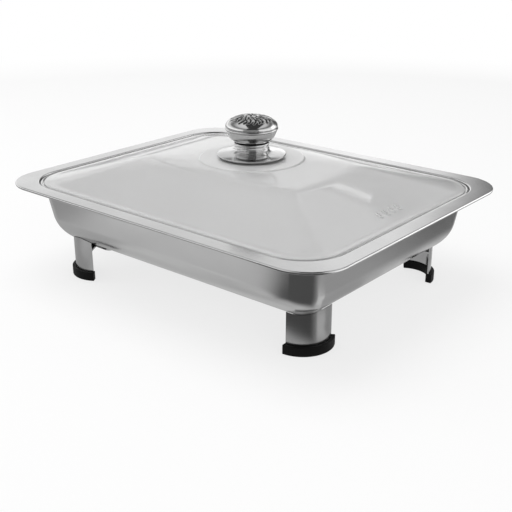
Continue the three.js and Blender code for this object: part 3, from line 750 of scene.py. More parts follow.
def lid_under_rings(top_rings):
    """Rings of the underside from the screw's hole out over the lip to the lid's edge."""
    lip_bottom = food_rim_top - LIP_DEPTH
    lip_drop = (flange_top - lip_bottom) * math.tan(WALL_DRAFT)
    lip_inset = food_inset + FOOD_SHEET / math.cos(WALL_DRAFT) + lip_drop + LIP_CLEARANCE
    half_x = water_bowl[0] - lip_inset
    half_y = water_bowl[1] - lip_inset

    def lip(inset, height):
        return rectangle_ring(
            half_x - inset, half_y - inset, LIP_RADIUS - inset, height, side_steps=LID_SIDE_STEPS,
        )

    inner_edge = half_x - LIP_WALL
    kept = [ring for ring in top_rings if max(point[0] for point in ring) < inner_edge - 1]
    rings = [[(x, y, z - LID_WALL) for x, y, z in ring] for ring in kept[::-1]]
    lip_top = lid_edge_top + lid_slope() * (lid_high.x - LID_BORDER - inner_edge) - LID_WALL
    rings += [lip(LIP_WALL, lip_top), lip(LIP_WALL, lip_bottom + LIP_WALL / 4)]
    rings += [lip(LIP_WALL * 0.75, lip_bottom), lip(LIP_WALL / 4, lip_bottom)]
    rings += [lip(0, lip_bottom + LIP_WALL / 4), lip(0, lid_edge_bottom)]
    rounding = LID_EDGE_ROUNDING
    for step in range(LID_ROUNDING_STEPS):
        angle = QUARTER * step / LID_ROUNDING_STEPS
        rings.append(lid_ring(rounding * (1 - math.sin(angle)),
                              lid_edge_bottom + rounding * (1 - math.cos(angle))))
    return rings


def stadium(length, width, steps=10):
    """An outline with two straight sides and round ends."""
    reach = (length - width) / 2
    points = []
    for side, centre in enumerate((reach, -reach)):
        for step in range(steps + 1):
            angle = -QUARTER + math.pi * (side + step / steps)
            points.append((centre + width / 2 * math.cos(angle), width / 2 * math.sin(angle)))
    return points


def vent_places():
    slope = math.atan(lid_slope())
    tilt = Matrix.Rotation(slope, 4, "Y")
    height = lid_edge_top + lid_slope() * (VENT_EDGE_DISTANCE - LID_BORDER)
    for number in range(VENT_COUNT):
        y = (number - (VENT_COUNT - 1) / 2) * VENT_PITCH
        yield Matrix.Translation((lid_high.x - VENT_EDGE_DISTANCE, y, height)) @ tilt


def build_lid():
    top_rings = lid_top_rings()
    piece = loft("lid_shell", top_rings + lid_under_rings(top_rings), "joined")
    levels = (-LID_WALL / 2, VENT_RISE / 6, VENT_RISE * 0.6, VENT_RISE * 0.9, VENT_RISE)
    for place in vent_places():
        rings = []
        for level, spread in zip(levels, VENT_COLLAR_SPREADS):
            wider = (VENT_COLLAR + spread) * 2
            outline = stadium(VENT_LENGTH + wider, VENT_WIDTH + wider)
            rings.append([tuple(place @ Vector((x, y, level))) for x, y in outline])
        combine(piece, loft("vent_collar", rings), "UNION")
    for place in vent_places():
        slot = prism("vent_slot", stadium(VENT_LENGTH, VENT_WIDTH), -LID_WALL * 2, LID_WALL * 2, place)
        combine(piece, slot, "DIFFERENCE")
    dress(piece, lid_plastic, "lid", ["lid"], sharp=50)


# The knob

def build_knob_base():
    """The knob's foot and beaded neck, up the outside and down the inside."""
    low, high = box_mm("knob_base")
    bottom, top, edge = low.z, high.z, high.x
    skirt = edge - FOOT_BEVEL
    foot_top = bottom + FOOT_EDGE
    neck = NECK_RADIUS
    beaded = neck + NECK_BEAD
    lower_bead = bottom + LOWER_BEAD_HEIGHT
    upper_bead = top - UPPER_BEAD_DROP
    base = lathe("knob_base_shell", softened([
        (skirt, bottom, 0.3),
        (edge - 0.3, bottom + FOOT_EDGE * 0.55, 0.9),
        (edge - 0.1, foot_top, 0.6),
        (edge - FOOT_SHOULDER, foot_top + 1.0, 2.5),
        (neck + NECK_FILLET, foot_top + FOOT_RISE * 0.6, 2.2),
        (neck + 0.2, foot_top + FOOT_RISE, 1.2),
        (neck, lower_bead - NECK_BEAD, 0.2),
        (beaded, lower_bead, 0.5),
        (neck, lower_bead + NECK_BEAD, 0.2),
        (neck, upper_bead - 0.9, 0.3),
        (beaded, upper_bead, 0.4),
        (beaded, top, 0.3),
        (SLEEVE_RADIUS, top, 0.2),
        (SLEEVE_RADIUS, foot_top + FOOT_RISE - KNOB_SHELL, 1.0),
        (skirt - KNOB_SHELL, foot_top - KNOB_SHELL * 0.4, 0.6),
        (skirt - KNOB_SHELL, bottom, 0.2),
    ]))
    dress(base, knob_steel, "lid", ["knob_base"], sharp=60)


def build_knob_core():
    """The insulating core with its collar, round the screw's hole."""
    low, high = box_mm("knob_core")
    hole_top = high.z - CORE_HOLE_DEPTH
    collar_low = box_mm("knob_base")[1].z + SEAT_GAP
    collar_top = collar_low + COLLAR_HEIGHT
    core = lathe("knob_core_body", softened([
        (0, hole_top, 0),
        (CORE_HOLE_RADIUS, hole_top, 0),
        (CORE_HOLE_RADIUS, low.z, 0.1),
        (CORE_RADIUS, low.z, 0.3),
        (CORE_RADIUS, collar_low, 0.1),
        (high.x, collar_low, 0.3),
        (high.x, collar_top, 0.3),
        (CORE_RADIUS, collar_top, 0.1),
        (CORE_RADIUS, high.z, 0.8),
        (0, high.z, 0),
    ], closed=False), closed=False)
    dress(core, core_black, "lid", ["knob_core"])


def build_knob_bowl():
    """The lower shell of the knob's head, which flares out from the neck."""
    low, high = box_mm("knob_bowl")
    shell = KNOB_SHELL
    flare = high.x - BOWL_FOOT_RADIUS
    rise = high.z - low.z
    outer = []
    inner = []
    for up, out in BOWL_SHARES:
        across = BOWL_FOOT_RADIUS + flare * out
        outer.append((across, low.z + rise * up, 0.9 if 0 < up < 1 else 0.3))
        inner.append((across - shell, low.z + shell + (rise - shell) * up, 0.3))
    bowl = lathe("knob_bowl_shell", softened(
        [(SLEEVE_RADIUS, low.z, 0.2)] + outer + inner[::-1] + [(SLEEVE_RADIUS, low.z + shell, 0.2)]
    ))
    dress(bowl, knob_steel, "lid", ["knob_bowl"], sharp=60)


def build_knob_ring():
    """The ring between the two shells of the knob's head."""
    low, high = box_mm("knob_ring")
    belly = (high.z - low.z) * 0.2
    middle = (high.z + low.z) / 2
    inner = box_mm("knob_bowl")[1].x - KNOB_SHELL
    ring = lathe("knob_ring_band", softened([
        (inner, low.z, 0.1),
        (high.x - RING_BEVEL, low.z, 0.3),
        (high.x, middle - belly, 0.4),
        (high.x, middle + belly, 0.4),
        (high.x - RING_BEVEL, high.z, 0.3),
        (inner, high.z, 0.1),
    ]))
    dress(ring, knob_steel, "lid", ["knob_ring"], sharp=60)


def build_washer(node, hole, outside, inside, material):
    """A flat ring round a hole, with its edges rounded outside and inside."""
    low, high = box_mm(node)
    washer = lathe(f"{node}_ring", softened([
        (hole, low.z, inside),
        (high.x, low.z, outside),
        (high.x, high.z, outside),
        (hole, high.z, inside),
    ], steps=3), steps=72)
    dress(washer, material, "lid", [node])


# The pressed ornament on the cap: a plain rosette of curling leaf strokes round six petals

LEAF_COUNT = 9
PETAL_COUNT = 6
LEAF_RELIEF = 0.5
STROKE_WIDTH = 0.75
ORNAMENT_REACH = 0.9  # of the cap's radius
LEAF_STROKE_SHARES = [
    [(0.30, -0.30), (0.42, -0.05), (0.55, 0.12), (0.70, 0.10), (0.82, -0.10)],
    [(0.55, 0.12), (0.64, 0.34), (0.74, 0.40), (0.80, 0.28)],
    [(0.50, -0.42), (0.60, -0.30), (0.72, -0.34), (0.78, -0.46)],
    [(0.36, 0.30), (0.44, 0.44), (0.50, 0.36)],
]
PETAL_STROKE_SHARES = [
    [(0.07, 0.0), (0.14, 0.10), (0.21, 0.0)],
    [(0.07, 0.0), (0.14, -0.10), (0.21, 0.0)],
]


def stroke_points(strokes, count, radius):
    """The strokes' corner points for every leaf, where a share of 1 spans one leaf's angle."""
    made = []
    for leaf in range(count):
        for stroke in strokes:
            points = []
            for out, turn in stroke:
                angle = TURN * (leaf + turn) / count
                points.append((radius * out * math.cos(angle), radius * out * math.sin(angle)))
            made.append(points)
    return made


def distance_to(stroke, x, y):
    nearest = math.inf
    for (ax, ay), (bx, by) in zip(stroke, stroke[1:]):
        length = (bx - ax) ** 2 + (by - ay) ** 2
        share = min(max(((x - ax) * (bx - ax) + (y - ay) * (by - ay)) / length, 0), 1)
        nearest = min(nearest, math.hypot(x - ax - share * (bx - ax), y - ay - share * (by - ay)))
    return nearest


def build_knob_cap():
    """The domed top of the knob, from the middle of its inside over the edge to the middle of its top."""
    low, high = box_mm("knob_cap")
    radius = high.x
    rise = high.z - low.z - CAP_EDGE_HEIGHT
    widest = low.z + CAP_EDGE_HEIGHT
    around = 288
    rows = 74
    inner_rows = 24
    strokes = stroke_points(LEAF_STROKE_SHARES, LEAF_COUNT, radius)
    strokes += stroke_points(PETAL_STROKE_SHARES, PETAL_COUNT, radius)
    rings = []
    pressed = []
    for row in range(inner_rows, -1, -1):
        angle = QUARTER * row / inner_rows
        across = (radius - CAP_EDGE_INSET - KNOB_SHELL) * math.cos(angle) if row < inner_rows else 0.0
        height = low.z + (rise - KNOB_SHELL - LEAF_RELIEF) * math.sin(angle)
        rings.append(flat_circle(across, height, around))
    for share in (0.0, 0.35, 0.7, 1.0):
        inset = CAP_EDGE_INSET * (1 - math.sin(QUARTER * share))
        rings.append(flat_circle(radius - inset, low.z + CAP_EDGE_HEIGHT * share, around))
    for row in range(1, rows + 1):
        angle = QUARTER * row / rows
        across = radius * math.cos(angle) if row < rows else 0.0
        height = widest + rise * math.sin(angle)
        ring = []
        for i in range(around):
            turn = TURN * i / around
            x = across * math.cos(turn)
            y = across * math.sin(turn)
            depth = 0.0
            if across < radius * ORNAMENT_REACH:
                near = min(distance_to(stroke, x, y) for stroke in strokes)
                depth = math.exp(-((near / STROKE_WIDTH) ** 4))
            out = -LEAF_RELIEF * depth * math.cos(angle)
            down = LEAF_RELIEF * depth * math.sin(angle)
            ring.append((x + out * math.cos(turn), y + out * math.sin(turn), height - down))
            pressed.append((ring[-1], depth))
        rings.append(ring)
    cap = loft("knob_cap_dome", rings, "open")
    mask = cap.data.attributes.new(PRESSED_DEPTH, "FLOAT", "POINT")
    depths = {tuple(round(value, 3) for value in point): depth for point, depth in pressed}
    for vertex in cap.data.vertices:
        place = tuple(round(value / MM, 3) for value in vertex.co)
        mask.data[vertex.index].value = depths.get(place, 0.0)
    dress(cap, pressed_steel, "lid", ["knob_cap"], sharp=70, weighted=False)


# The screw from below

def build_screw():
    low, high = box_mm("knob_screw")
    head_top = low.z + SCREW_HEAD_HEIGHT
    outline = softened([
        (0, low.z, 0),
        (high.x - SCREW_HEAD_BEVEL, low.z, 1.2),
        (high.x, low.z + SCREW_HEAD_BEVEL, 1.0),
        (high.x, head_top, 0.2),
        (SCREW_SHANK_RADIUS, head_top, 0.1),
        (SCREW_SHANK_RADIUS, high.z, 0.4),
        (0, high.z, 0),
    ], closed=False)
    screw = lathe("knob_screw_body", outline, steps=64, closed=False)
    half_x = CROSS_LENGTH / 2
    half_y = CROSS_WIDTH / 2
    bar = [(-half_x, -half_y), (half_x, -half_y), (half_x, half_y), (-half_x, half_y)]
    for turn in (0, QUARTER):
        place = Matrix.Rotation(turn, 4, "Z")
        slot = prism("cross_slot", bar, low.z - 1, low.z + CROSS_DEPTH, place)
        combine(screw, slot, "DIFFERENCE")
    dress(screw, zinc, "lid", ["knob_screw"])


# Legs and foot caps

CORNERS = ("back_right", "back_left", "front_left", "front_right")


def leg_place(name, quarters):
    """The corner point that a leg turns about, from where its foot cap is in the frame."""
    low, high = box_mm(f"foot_cap_{name}")
    turn = Matrix.Rotation(quarters * QUARTER, 4, "Z")
    local = turn.inverted()
    corners = [local @ Vector((x, y, 0)) for x in (low.x, high.x) for y in (low.y, high.y)]
    outer = LEG_RADIUS + CAP_OUTER_WALL
    top_y = max(corner.y for corner in corners) - outer - LEG_SHIFT
    start = LEG_MIDDLE - LEG_SPAN / 2 - CAP_END_WALL / LEG_RADIUS
    right_x = max(corner.x for corner in corners) - outer * math.cos(max(start, 0)) + LEG_SHIFT
    return Matrix.Translation(turn @ Vector((right_x, top_y, 0))) @ turn


def arc_points(radius, start, end, steps=ARC_STEPS):
    made = []
    for step in range(steps + 1):
        angle = start + (end - start) * step / steps
        made.append((-LEG_SHIFT + radius * math.cos(angle), LEG_SHIFT + radius * math.sin(angle)))
    return made


def arc_band(name, inner, outer, span, bottom, top, place):
    """A curved bar between two radii, made of even quads."""
    start = LEG_MIDDLE - span / 2
    end = LEG_MIDDLE + span / 2
    inner_points = arc_points(inner, start, end)
    outer_points = arc_points(outer, start, end)
    count = len(inner_points)
    points = []
    edges = ((inner_points, bottom), (outer_points, bottom), (outer_points, top), (inner_points, top))
    for arc, height in edges:
        points += [place @ Vector((x, y, height)) for x, y in arc]
    faces = []
    for side in range(4):
        a = side * count
        b = ((side + 1) % 4) * count
        for i in range(count - 1):
            faces.append((a + i, a + i + 1, b + i + 1, b + i))
    faces.append(tuple(side * count for side in range(4)))
    faces.append(tuple(side * count + count - 1 for side in range(4)))
    return make_mesh(name, points, faces)


def rounded_plate(low_x, high_x, low_y, high_y, radius, steps=8):
    points = []
    corners = ((high_x, high_y), (low_x, high_y), (low_x, low_y), (high_x, low_y))
    for corner, (x, y) in enumerate(corners):
        centre_x = x - math.copysign(radius, x - (low_x + high_x) / 2)
        centre_y = y - math.copysign(radius, y - (low_y + high_y) / 2)
        for step in range(steps + 1):
            angle = QUARTER * (corner + step / steps)
            points.append((centre_x + radius * math.cos(angle), centre_y + radius * math.sin(angle)))
    return points


def build_leg(name, place):
    """A curved sheet cut to the pan's wall, with a tab that reaches in under the pan."""
    low, _ = box_mm(f"leg_{name}")
    tab_top = water_low.z - LEG_FIT
    tab_bottom = tab_top - TAB_THICKNESS
    leg = arc_band(f"leg_{name}_sheet", LEG_INNER, LEG_RADIUS, LEG_SPAN, low.z, LEG_TRIM, place)
    cutter = loft("pan_cutter", bowl_rings(water_bowl, LEG_FIT, 0))
    combine(leg, cutter, "DIFFERENCE")
    middle = LEG_RADIUS - LEG_SHEET / 2
    fan = [(-LEG_SHIFT, LEG_SHIFT)]
    fan += arc_points(middle, LEG_MIDDLE - LEG_SPAN / 2, LEG_MIDDLE + LEG_SPAN / 2)
    plate = rounded_plate(-TAB_INWARD_X, TAB_OUTSIDE, -TAB_INWARD_Y, LEG_SHIFT + TAB_LAP, TAB_RADIUS)
    tab = prism("leg_tab", plate, tab_bottom, tab_top, place)
    combine(tab, prism("leg_fan", fan, tab_bottom, tab_top, place), "UNION")
    combine(leg, tab, "UNION")
    dress(leg, leg_steel, "dish", [f"leg_{name}"], sharp=30, weighted=False)


def build_foot_cap(name, place):
    """A moulded cap with a groove that the leg's lower edge stands in."""
    low, high = box_mm(f"foot_cap_{name}")
    inner = LEG_INNER - CAP_INNER_WALL
    outer = LEG_RADIUS + CAP_OUTER_WALL
    span = LEG_SPAN + CAP_END_WALL * 2 / LEG_RADIUS
    cap = arc_band(f"foot_cap_{name}_channel", inner, outer, span, low.z, high.z, place)
    groove_span = LEG_SPAN + LEG_FIT * 2 / LEG_RADIUS
    groove = arc_band("cap_groove", LEG_INNER - LEG_FIT, LEG_RADIUS + LEG_FIT, groove_span,
                      CAP_FLOOR, high.z + CAP_FLOOR, place)
    combine(cap, groove, "DIFFERENCE")
    bevel = cap.modifiers.new("moulded_edges", "BEVEL")
    bevel.width = CAP_ROUNDING * MM
    bevel.segments = 3
    bevel.limit_method = "ANGLE"
    bevel.angle_limit = math.radians(50)
    dress(cap, cap_black, "dish", [f"foot_cap_{name}"], sharp=45)


def build_stud(node):
    """A stud with its thread."""
    low, high = box_mm(node)
    centre = (low + high) / 2
    radius = (high.x - low.x) / 2
    steps = 28
    rows_per_turn = 5
    rows = int((high.z - low.z) / THREAD_PITCH * rows_per_turn)
    rings = []
    for row in range(rows + 1):
        height = low.z + (high.z - low.z) * row / rows
        ring = []
        for i in range(steps):
            phase = (height / THREAD_PITCH - i / steps) % 1
            depth = abs(2 * phase - 1) if row > 0 else TIP_DEPTH
            across = radius - THREAD_DEPTH * depth
            angle = TURN * i / steps
            x = centre.x + across * math.cos(angle)
            y = centre.y + across * math.sin(angle)
            ring.append((x, y, height))
        rings.append(ring)
    dress(loft(f"{node}_thread", rings), zinc, "dish", [node], weighted=False)
    return centre, radius


def build_nut(node, centre, stud_radius):
    """A hexagon nut round its stud, with chamfered corners."""
    low, high = box_mm(node)
    sixth = math.pi / 3
    height = high.z - low.z
    flat = min(high.x - low.x, high.y - low.y) / 2
    corner = flat / math.cos(sixth / 2)
    turn = 0 if high.x - low.x > high.y - low.y else sixth / 2
    hole = stud_radius + NUT_FIT
    steps = 48

    def nut_ring(level, limit=None):
        """Points round the outside, no further out than the limit, or round the hole."""
        ring = []
        for i in range(steps):
            angle = TURN * i / steps
            side = flat / math.cos(angle % sixth - sixth / 2)
            across = hole if limit is None else min(side, limit)
            x = centre.x + across * math.cos(angle + turn)
            y = centre.y + across * math.sin(angle + turn)
            ring.append((x, y, low.z + level))
        return ring

    faced = flat * NUT_CHAMFER_SHARE
    rings = [nut_ring(0, faced), nut_ring(NUT_CHAMFER, corner)]
    rings += [nut_ring(height - NUT_CHAMFER, corner), nut_ring(height, faced)]
    rings += [nut_ring(height), nut_ring(0)]
    nut = loft(f"{node}_hex", rings, "joined")
    dress(nut, zinc, "dish", [node], sharp=25, weighted=False)


build_water_pan()
build_food_pan()
build_lid()
build_knob_base()
build_knob_core()
build_knob_bowl()
build_knob_ring()
build_washer("knob_gasket", GASKET_HOLE_RADIUS, 0.2, 0.2, silicone)
build_knob_cap()
build_washer("lid_seal", SCREW_HOLE_RADIUS, 0.3, 0.15, silicone)
build_washer("lid_washer", SCREW_HOLE_RADIUS, 0.3, 0.15, zinc)
build_screw()
for quarter_turns, corner_name in enumerate(CORNERS):
    corner_place = leg_place(corner_name, quarter_turns)
    build_leg(corner_name, corner_place)
    build_foot_cap(corner_name, corner_place)
    for number in (1, 2):
        stud_centre, stud_radius = build_stud(f"leg_stud_{corner_name}_{number}")
        build_nut(f"leg_nut_{corner_name}_{number}", stud_centre, stud_radius)


# Camera

def add_camera():
    camera_data = bpy.data.cameras.new("photo_camera")
    camera_data.lens = CAMERA_LENS
    camera_data.sensor_width = CAMERA_SENSOR
    camera = bpy.data.objects.new("photo_camera", camera_data)
    scene.collection.objects.link(camera)
    back = -CAMERA_AIM.normalized()
    right = CAMERA_UP.cross(back).normalized()
    up = back.cross(right)
    turn = Matrix((right, up, back)).transposed().to_4x4()
    camera.matrix_world = Matrix.Translation(CAMERA_PLACE) @ turn
    scene.camera = camera


# Floor, world and lamps

WHITE = (1, 1, 1, 1)


def add_stage_mesh(name, points, material, faces=((0, 1, 2, 3),)):
    """A piece of the studio, from points in metres."""
    mesh = bpy.data.meshes.new(name)
    mesh.from_pydata(points, [], faces)
    mesh.materials.append(material)
    piece = bpy.data.objects.new(name, mesh)
    scene.collection.objects.link(piece)
    return piece


# What reflections see on the floor: paper with painted streaks, and painted patches of shade and light laid
# over it. Each patch has its lightness and the edges that it lies within, from where it starts to where it is
# full. An edge is in metres along X or Y, or by the turn in degrees and the reach in metres from the corner
# near the camera.
PAPER_SHADE = 0.62
PAPER_SPREAD = 0.12
PAINTED_STREAK = (110, 22)  # millimetres
DARK_CORNER = (0.105, -0.085)
FLOOR_PATCHES = [
    (0.38, [("X", 0.13, 0.19)]),
    (0.16, [("X", 0.13, 0.19), ("Y", 0.03, 0.2)]),
    (1.3, [("X", 0.25, 0.28)]),
    (0.36, [("X", -0.15, -0.23)]),
    (0.48, [("X", -0.085, -0.12), ("Y", -0.16, -0.14)]),
    (0.16, [("Y", -0.23, -0.27)]),
    (0.09, [("turn", -130, -112), ("turn", 12, -20), ("reach", 0.034, 0.06)]),
    (0.72, [("turn", 0, 6.875), ("turn", 42.97, 28.65), ("reach", 0.045, 0.06), ("reach", 0.11, 0.09)]),
    (0.42, [("X", 0.11, 0.125), ("X", 0.175, 0.16), ("Y", -0.062, -0.045), ("Y", 0.03, 0.01)]),
]


def floor_shade(tree, place):
    """The floor's lightness for reflections, as a socket."""
    spot = add_node(tree, "ShaderNodeSeparateXYZ", links={0: place}).outputs
    aside = add_node(tree, "ShaderNodeVectorMath", {1: (*DARK_CORNER, 0)}, {0: place}, operation="SUBTRACT")
    offset = add_node(tree, "ShaderNodeSeparateXYZ", links={0: aside.outputs[0]}).outputs
    turn = add_node(tree, "ShaderNodeMath", links={0: offset["Y"], 1: offset["X"]}, operation="ARCTAN2")
    reach = add_node(tree, "ShaderNodeVectorMath", links={0: aside.outputs[0]}, operation="LENGTH")
    measures = {
        "X": spot["X"], "Y": spot["Y"], "turn": turn.outputs[0], "reach": reach.outputs["Value"],
    }
    stretch = (*[per_mm(size) for size in PAINTED_STREAK], 1)
    # Painted streaks of lighter and darker reflection, stretched along X
    streak_place = add_node(tree, "ShaderNodeMapping", {"Scale": stretch}, {"Vector": place})
    painted_streaks = add_node(tree, "ShaderNodeTexNoise", {"Scale": 1.0, "Detail": 1.0},
                       {"Vector": streak_place.outputs[0]})
    shade = add_node(tree, "ShaderNodeMapRange", {
        **NOISE_RANGE, "To Min": PAPER_SHADE * (1 - PAPER_SPREAD), "To Max": PAPER_SHADE * (1 + PAPER_SPREAD),
    }, {"Value": painted_streaks.outputs["Fac"]}).outputs[0]
    # Painted patches of shade and light over the paper
    for lightness, edges in FLOOR_PATCHES:
        within = None
        for measure, outside, inside in edges:
            if measure == "turn":
                outside, inside = math.radians(outside), math.radians(inside)
            edge = add_node(tree, "ShaderNodeMapRange", {"From Min": outside, "From Max": inside},
                            {"Value": measures[measure]}, interpolation_type="SMOOTHSTEP").outputs[0]
            if within is not None:
                edge = add_node(tree, "ShaderNodeMath", links={0: within, 1: edge},
                                operation="MINIMUM").outputs[0]
            within = edge
        shade = add_node(tree, "ShaderNodeMix", {"B": lightness}, {"Factor": within, "A": shade}).outputs[0]
    return shade


def add_floor():
    """White paper that keeps the shadow lightly. Reflections see its shades, in part as if they glowed."""
    half = 4.0
    drop = -0.3 * MM
    white_from = 0.45
    white_by = 1.3
    white_share = 0.75
    glow_share = 0.8
    material, tree = start_material("white_paper_floor")
    place = add_node(tree, "ShaderNodeTexCoord").outputs["Object"]
    rays = add_node(tree, "ShaderNodeLightPath").outputs
    shade = floor_shade(tree, place)
    distance = add_node(tree, "ShaderNodeVectorMath", links={0: place}, operation="LENGTH")
    fade = add_node(tree, "ShaderNodeMapRange", {"From Min": white_from, "From Max": white_by},
                    {"Value": distance.outputs["Value"]}, interpolation_type="SMOOTHSTEP")
    seen = add_node(tree, "ShaderNodeMath", {0: white_share}, {1: fade.outputs[0]}, operation="MAXIMUM")
    seen_share = add_node(tree, "ShaderNodeMath", links={0: seen.outputs[0], 1: rays["Is Camera Ray"]},
                          operation="MULTIPLY")
    mirrored_share = add_node(tree, "ShaderNodeMath", {0: glow_share}, {1: rays["Is Glossy Ray"]},
                              operation="MULTIPLY")
    share = add_node(tree, "ShaderNodeMath", links={0: seen_share.outputs[0], 1: mirrored_share.outputs[0]},
                     operation="MAXIMUM")
    tint = add_node(tree, "ShaderNodeMix", {6: colour("F4F4F4")}, {0: rays["Is Glossy Ray"], 7: shade},
                    data_type="RGBA")
    brightness = add_node(tree, "ShaderNodeMix", {"A": 1.0}, {"Factor": rays["Is Glossy Ray"], "B": shade})
    paper = add_node(tree, "ShaderNodeBsdfDiffuse", links={"Color": tint.outputs[2]})
    glow = add_node(tree, "ShaderNodeEmission", {"Color": WHITE}, {"Strength": brightness.outputs[0]})
    mix = add_node(tree, "ShaderNodeMixShader",
                   links={0: share.outputs[0], 1: paper.outputs[0], 2: glow.outputs[0]})
    add_node(tree, "ShaderNodeOutputMaterial", links={"Surface": mix.outputs[0]})
    corners = [(-half, -half, drop), (half, -half, drop), (half, half, drop), (-half, half, drop)]
    add_stage_mesh("floor", corners, material)


# What reflections see of the room at each elevation: a ring of white paper, a dark band above it and a
# white ceiling. The ring has shades of its own at each azimuth, with a dark gap behind the right end of the
# dish. They are full up to the first of the ring's heights and gone from the second. All are in degrees.
ROOM_SHADES = [
    (0, 1.2), (8, 1.5), (13, 1.4), (17, 1.0), (27, 1.0), (32, 0.22), (41, 0.22), (52, 0.75), (90, 0.95),
]
RING_SHADES = [
    (-180, 0.9), (-165, 1.05), (-120, 1.05), (-105, 0.9), (80, 0.9), (90, 0.15), (113, 0.05), (115, 0.3),
    (117, 0.7), (119.5, 1.0), (124, 1.0), (128, 0.88), (140, 0.8), (180, 0.9),
]
RING_HEIGHTS = (22, 35)


def add_world():
    ambient = 0.5
    world = bpy.data.worlds.new("studio")
    world.use_nodes = True
    tree = world.node_tree
    tree.nodes.clear()
    way = add_node(tree, "ShaderNodeTexCoord").outputs["Generated"]
    spot = add_node(tree, "ShaderNodeSeparateXYZ", links={0: way}).outputs
    azimuth = add_node(tree, "ShaderNodeMath", links={0: spot["Y"], 1: spot["X"]}, operation="ARCTAN2")
    turn = add_node(tree, "ShaderNodeMath", {1: 1 / TURN, 2: 0.5}, {0: azimuth.outputs[0]},
                    operation="MULTIPLY_ADD")
    heights = [(math.sin(math.radians(elevation)), shade) for elevation, shade in ROOM_SHADES]
    turns = [(degrees / 360 + 0.5, shade) for degrees, shade in RING_SHADES]
    shades = []
    for source, steps in ((spot["Z"], heights), (turn.outputs[0], turns)):
        ramp = add_node(tree, "ShaderNodeValToRGB", links={"Fac": source})
        stops = ramp.color_ramp.elements
        while len(stops) < len(steps):
            stops.new(0.5)
        for stop, (position, shade) in zip(stops, steps):
            stop.position = position
            stop.color = (shade, shade, shade, 1)
        shades.append(ramp.outputs["Color"])
    ring_from, ring_to = [math.sin(math.radians(elevation)) for elevation in RING_HEIGHTS]
    above = add_node(tree, "ShaderNodeMapRange", {"From Min": ring_from, "From Max": ring_to},
                     {"Value": spot["Z"]})
    ring = add_node(tree, "ShaderNodeMix", {"B": 1.0}, {"Factor": above.outputs[0], "A": shades[1]})
    room = add_node(tree, "ShaderNodeMath", links={0: shades[0], 1: ring.outputs[0]}, operation="MULTIPLY")
    rays = add_node(tree, "ShaderNodeLightPath")
    mirrored = add_node(tree, "ShaderNodeMix", {"A": ambient}, {
        "Factor": rays.outputs["Is Glossy Ray"], "B": room.outputs[0],
    })
    white = add_node(tree, "ShaderNodeMath", operation="MAXIMUM",
                     links={0: rays.outputs["Is Camera Ray"], 1: rays.outputs["Is Transmission Ray"]})
    strength = add_node(tree, "ShaderNodeMath", operation="MAXIMUM",
                        links={0: mirrored.outputs[0], 1: white.outputs[0]})
    background = add_node(tree, "ShaderNodeBackground", {"Color": WHITE}, {"Strength": strength.outputs[0]})
    add_node(tree, "ShaderNodeOutputWorld", links={"Surface": background.outputs[0]})
    scene.world = world


def add_softbox(name, place, width, height, watts, target=(0, 0, 0.06)):
    """A soft lamp that lights without showing in reflections, which see the room and its cards."""
    lamp_data = bpy.data.lights.new(name, "AREA")
    lamp_data.shape = "RECTANGLE"
    lamp_data.size = width
    lamp_data.size_y = height
    lamp_data.energy = watts
    lamp = bpy.data.objects.new(name, lamp_data)
    scene.collection.objects.link(lamp)
    aim = Vector(target) - Vector(place)
    lamp.matrix_world = Matrix.Translation(place) @ aim.to_track_quat("-Z", "Y").to_matrix().to_4x4()
    lamp.visible_glossy = False


def add_card(name, points, faces, shade):
    """A studio card that only reflections see."""
    material, tree = start_material(name)
    glow = add_node(tree, "ShaderNodeEmission", {"Color": WHITE, "Strength": shade})
    add_node(tree, "ShaderNodeOutputMaterial", links={"Surface": glow.outputs[0]})
    card = add_stage_mesh(name, points, material, faces)
    card.visible_camera = False
    card.visible_diffuse = False
    card.visible_shadow = False
    card.visible_transmission = False


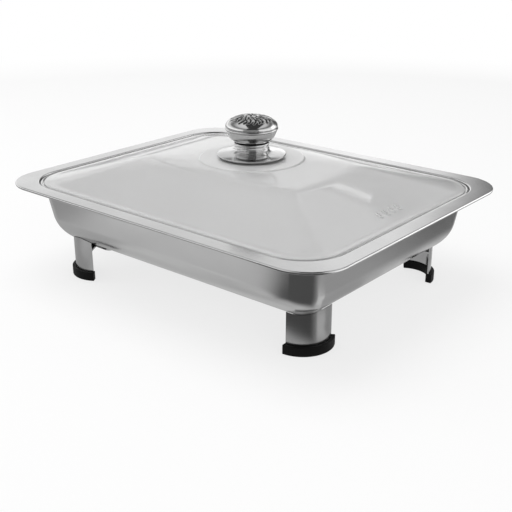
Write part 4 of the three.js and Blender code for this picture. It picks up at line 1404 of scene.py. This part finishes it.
def on_ring(azimuth, elevation, radius=1.6):
    """A place in the room in a direction given in degrees, seen from the dish."""
    dish_height = 0.09
    turn = math.radians(azimuth)
    height = dish_height + radius * math.tan(math.radians(elevation))
    return radius * math.cos(turn), radius * math.sin(turn), height


def upright_card(name, azimuths, lows, highs, shade, radius):
    """A card curved round the dish between two azimuths, with its low and high elevation at each."""
    steps = 12
    points = []
    for step in range(steps + 1):
        share = step / steps
        azimuth, low, high = [a + (b - a) * share for a, b in (azimuths, lows, highs)]
        points += [on_ring(azimuth, low, radius), on_ring(azimuth, high, radius)]
    faces = [(2 * step, 2 * step + 2, 2 * step + 3, 2 * step + 1) for step in range(steps)]
    add_card(name, points, faces, shade)


# Each lamp's name, place, width and height in metres, and watts
SOFTBOXES = [
    ("left_softbox", on_ring(203, 33), 0.9, 0.9, 5.0),
    ("top_softbox", (-0.3, -0.1, 1.5), 1.2, 1.2, 12.0),
    ("camera_side_softbox", on_ring(-30, 22), 1.2, 0.8, 5.0),
]

# Each card's name, first and last azimuth, low and high elevation at both, lightness and distance
UPRIGHT_CARDS = [
    ("camera_side_card", (-88, -18), (-3, -3), (28, 28), 0.3, 1.5),
    ("camera_side_high_card", (-75, -15), (28, 28), (50, 50), 0.05, 1.5),
    ("right_white_card", (50, 76), (0, 0), (27, 27), 2.0, 1.6),
    ("streak_card", (104, 116), (32.1, 34.3), (32.55, 34.8), 2.2, 1.6),
    ("above_streak_card", (100, 118), (32.6, 35.2), (45, 45), 0.75, 1.6),
]

# The card overhead, in metres
OVERHEAD_HEIGHT = 1.1
OVERHEAD_TURN = math.radians(-50)
OVERHEAD_CORNERS = [(-0.6, -0.24), (1.15, -0.24), (1.15, 0.48), (-0.6, 0.48)]
OVERHEAD_SHADE = 0.05

add_camera()
add_floor()
add_world()
for softbox in SOFTBOXES:
    add_softbox(*softbox)
for card_row in UPRIGHT_CARDS:
    upright_card(*card_row)
overhead_turn = Matrix.Rotation(OVERHEAD_TURN, 4, "Z")
overhead = [overhead_turn @ Vector((x, y, OVERHEAD_HEIGHT)) for x, y in OVERHEAD_CORNERS]
add_card("overhead_card", overhead, [(0, 1, 2, 3)], OVERHEAD_SHADE)

scene.view_settings.view_transform = "Standard"
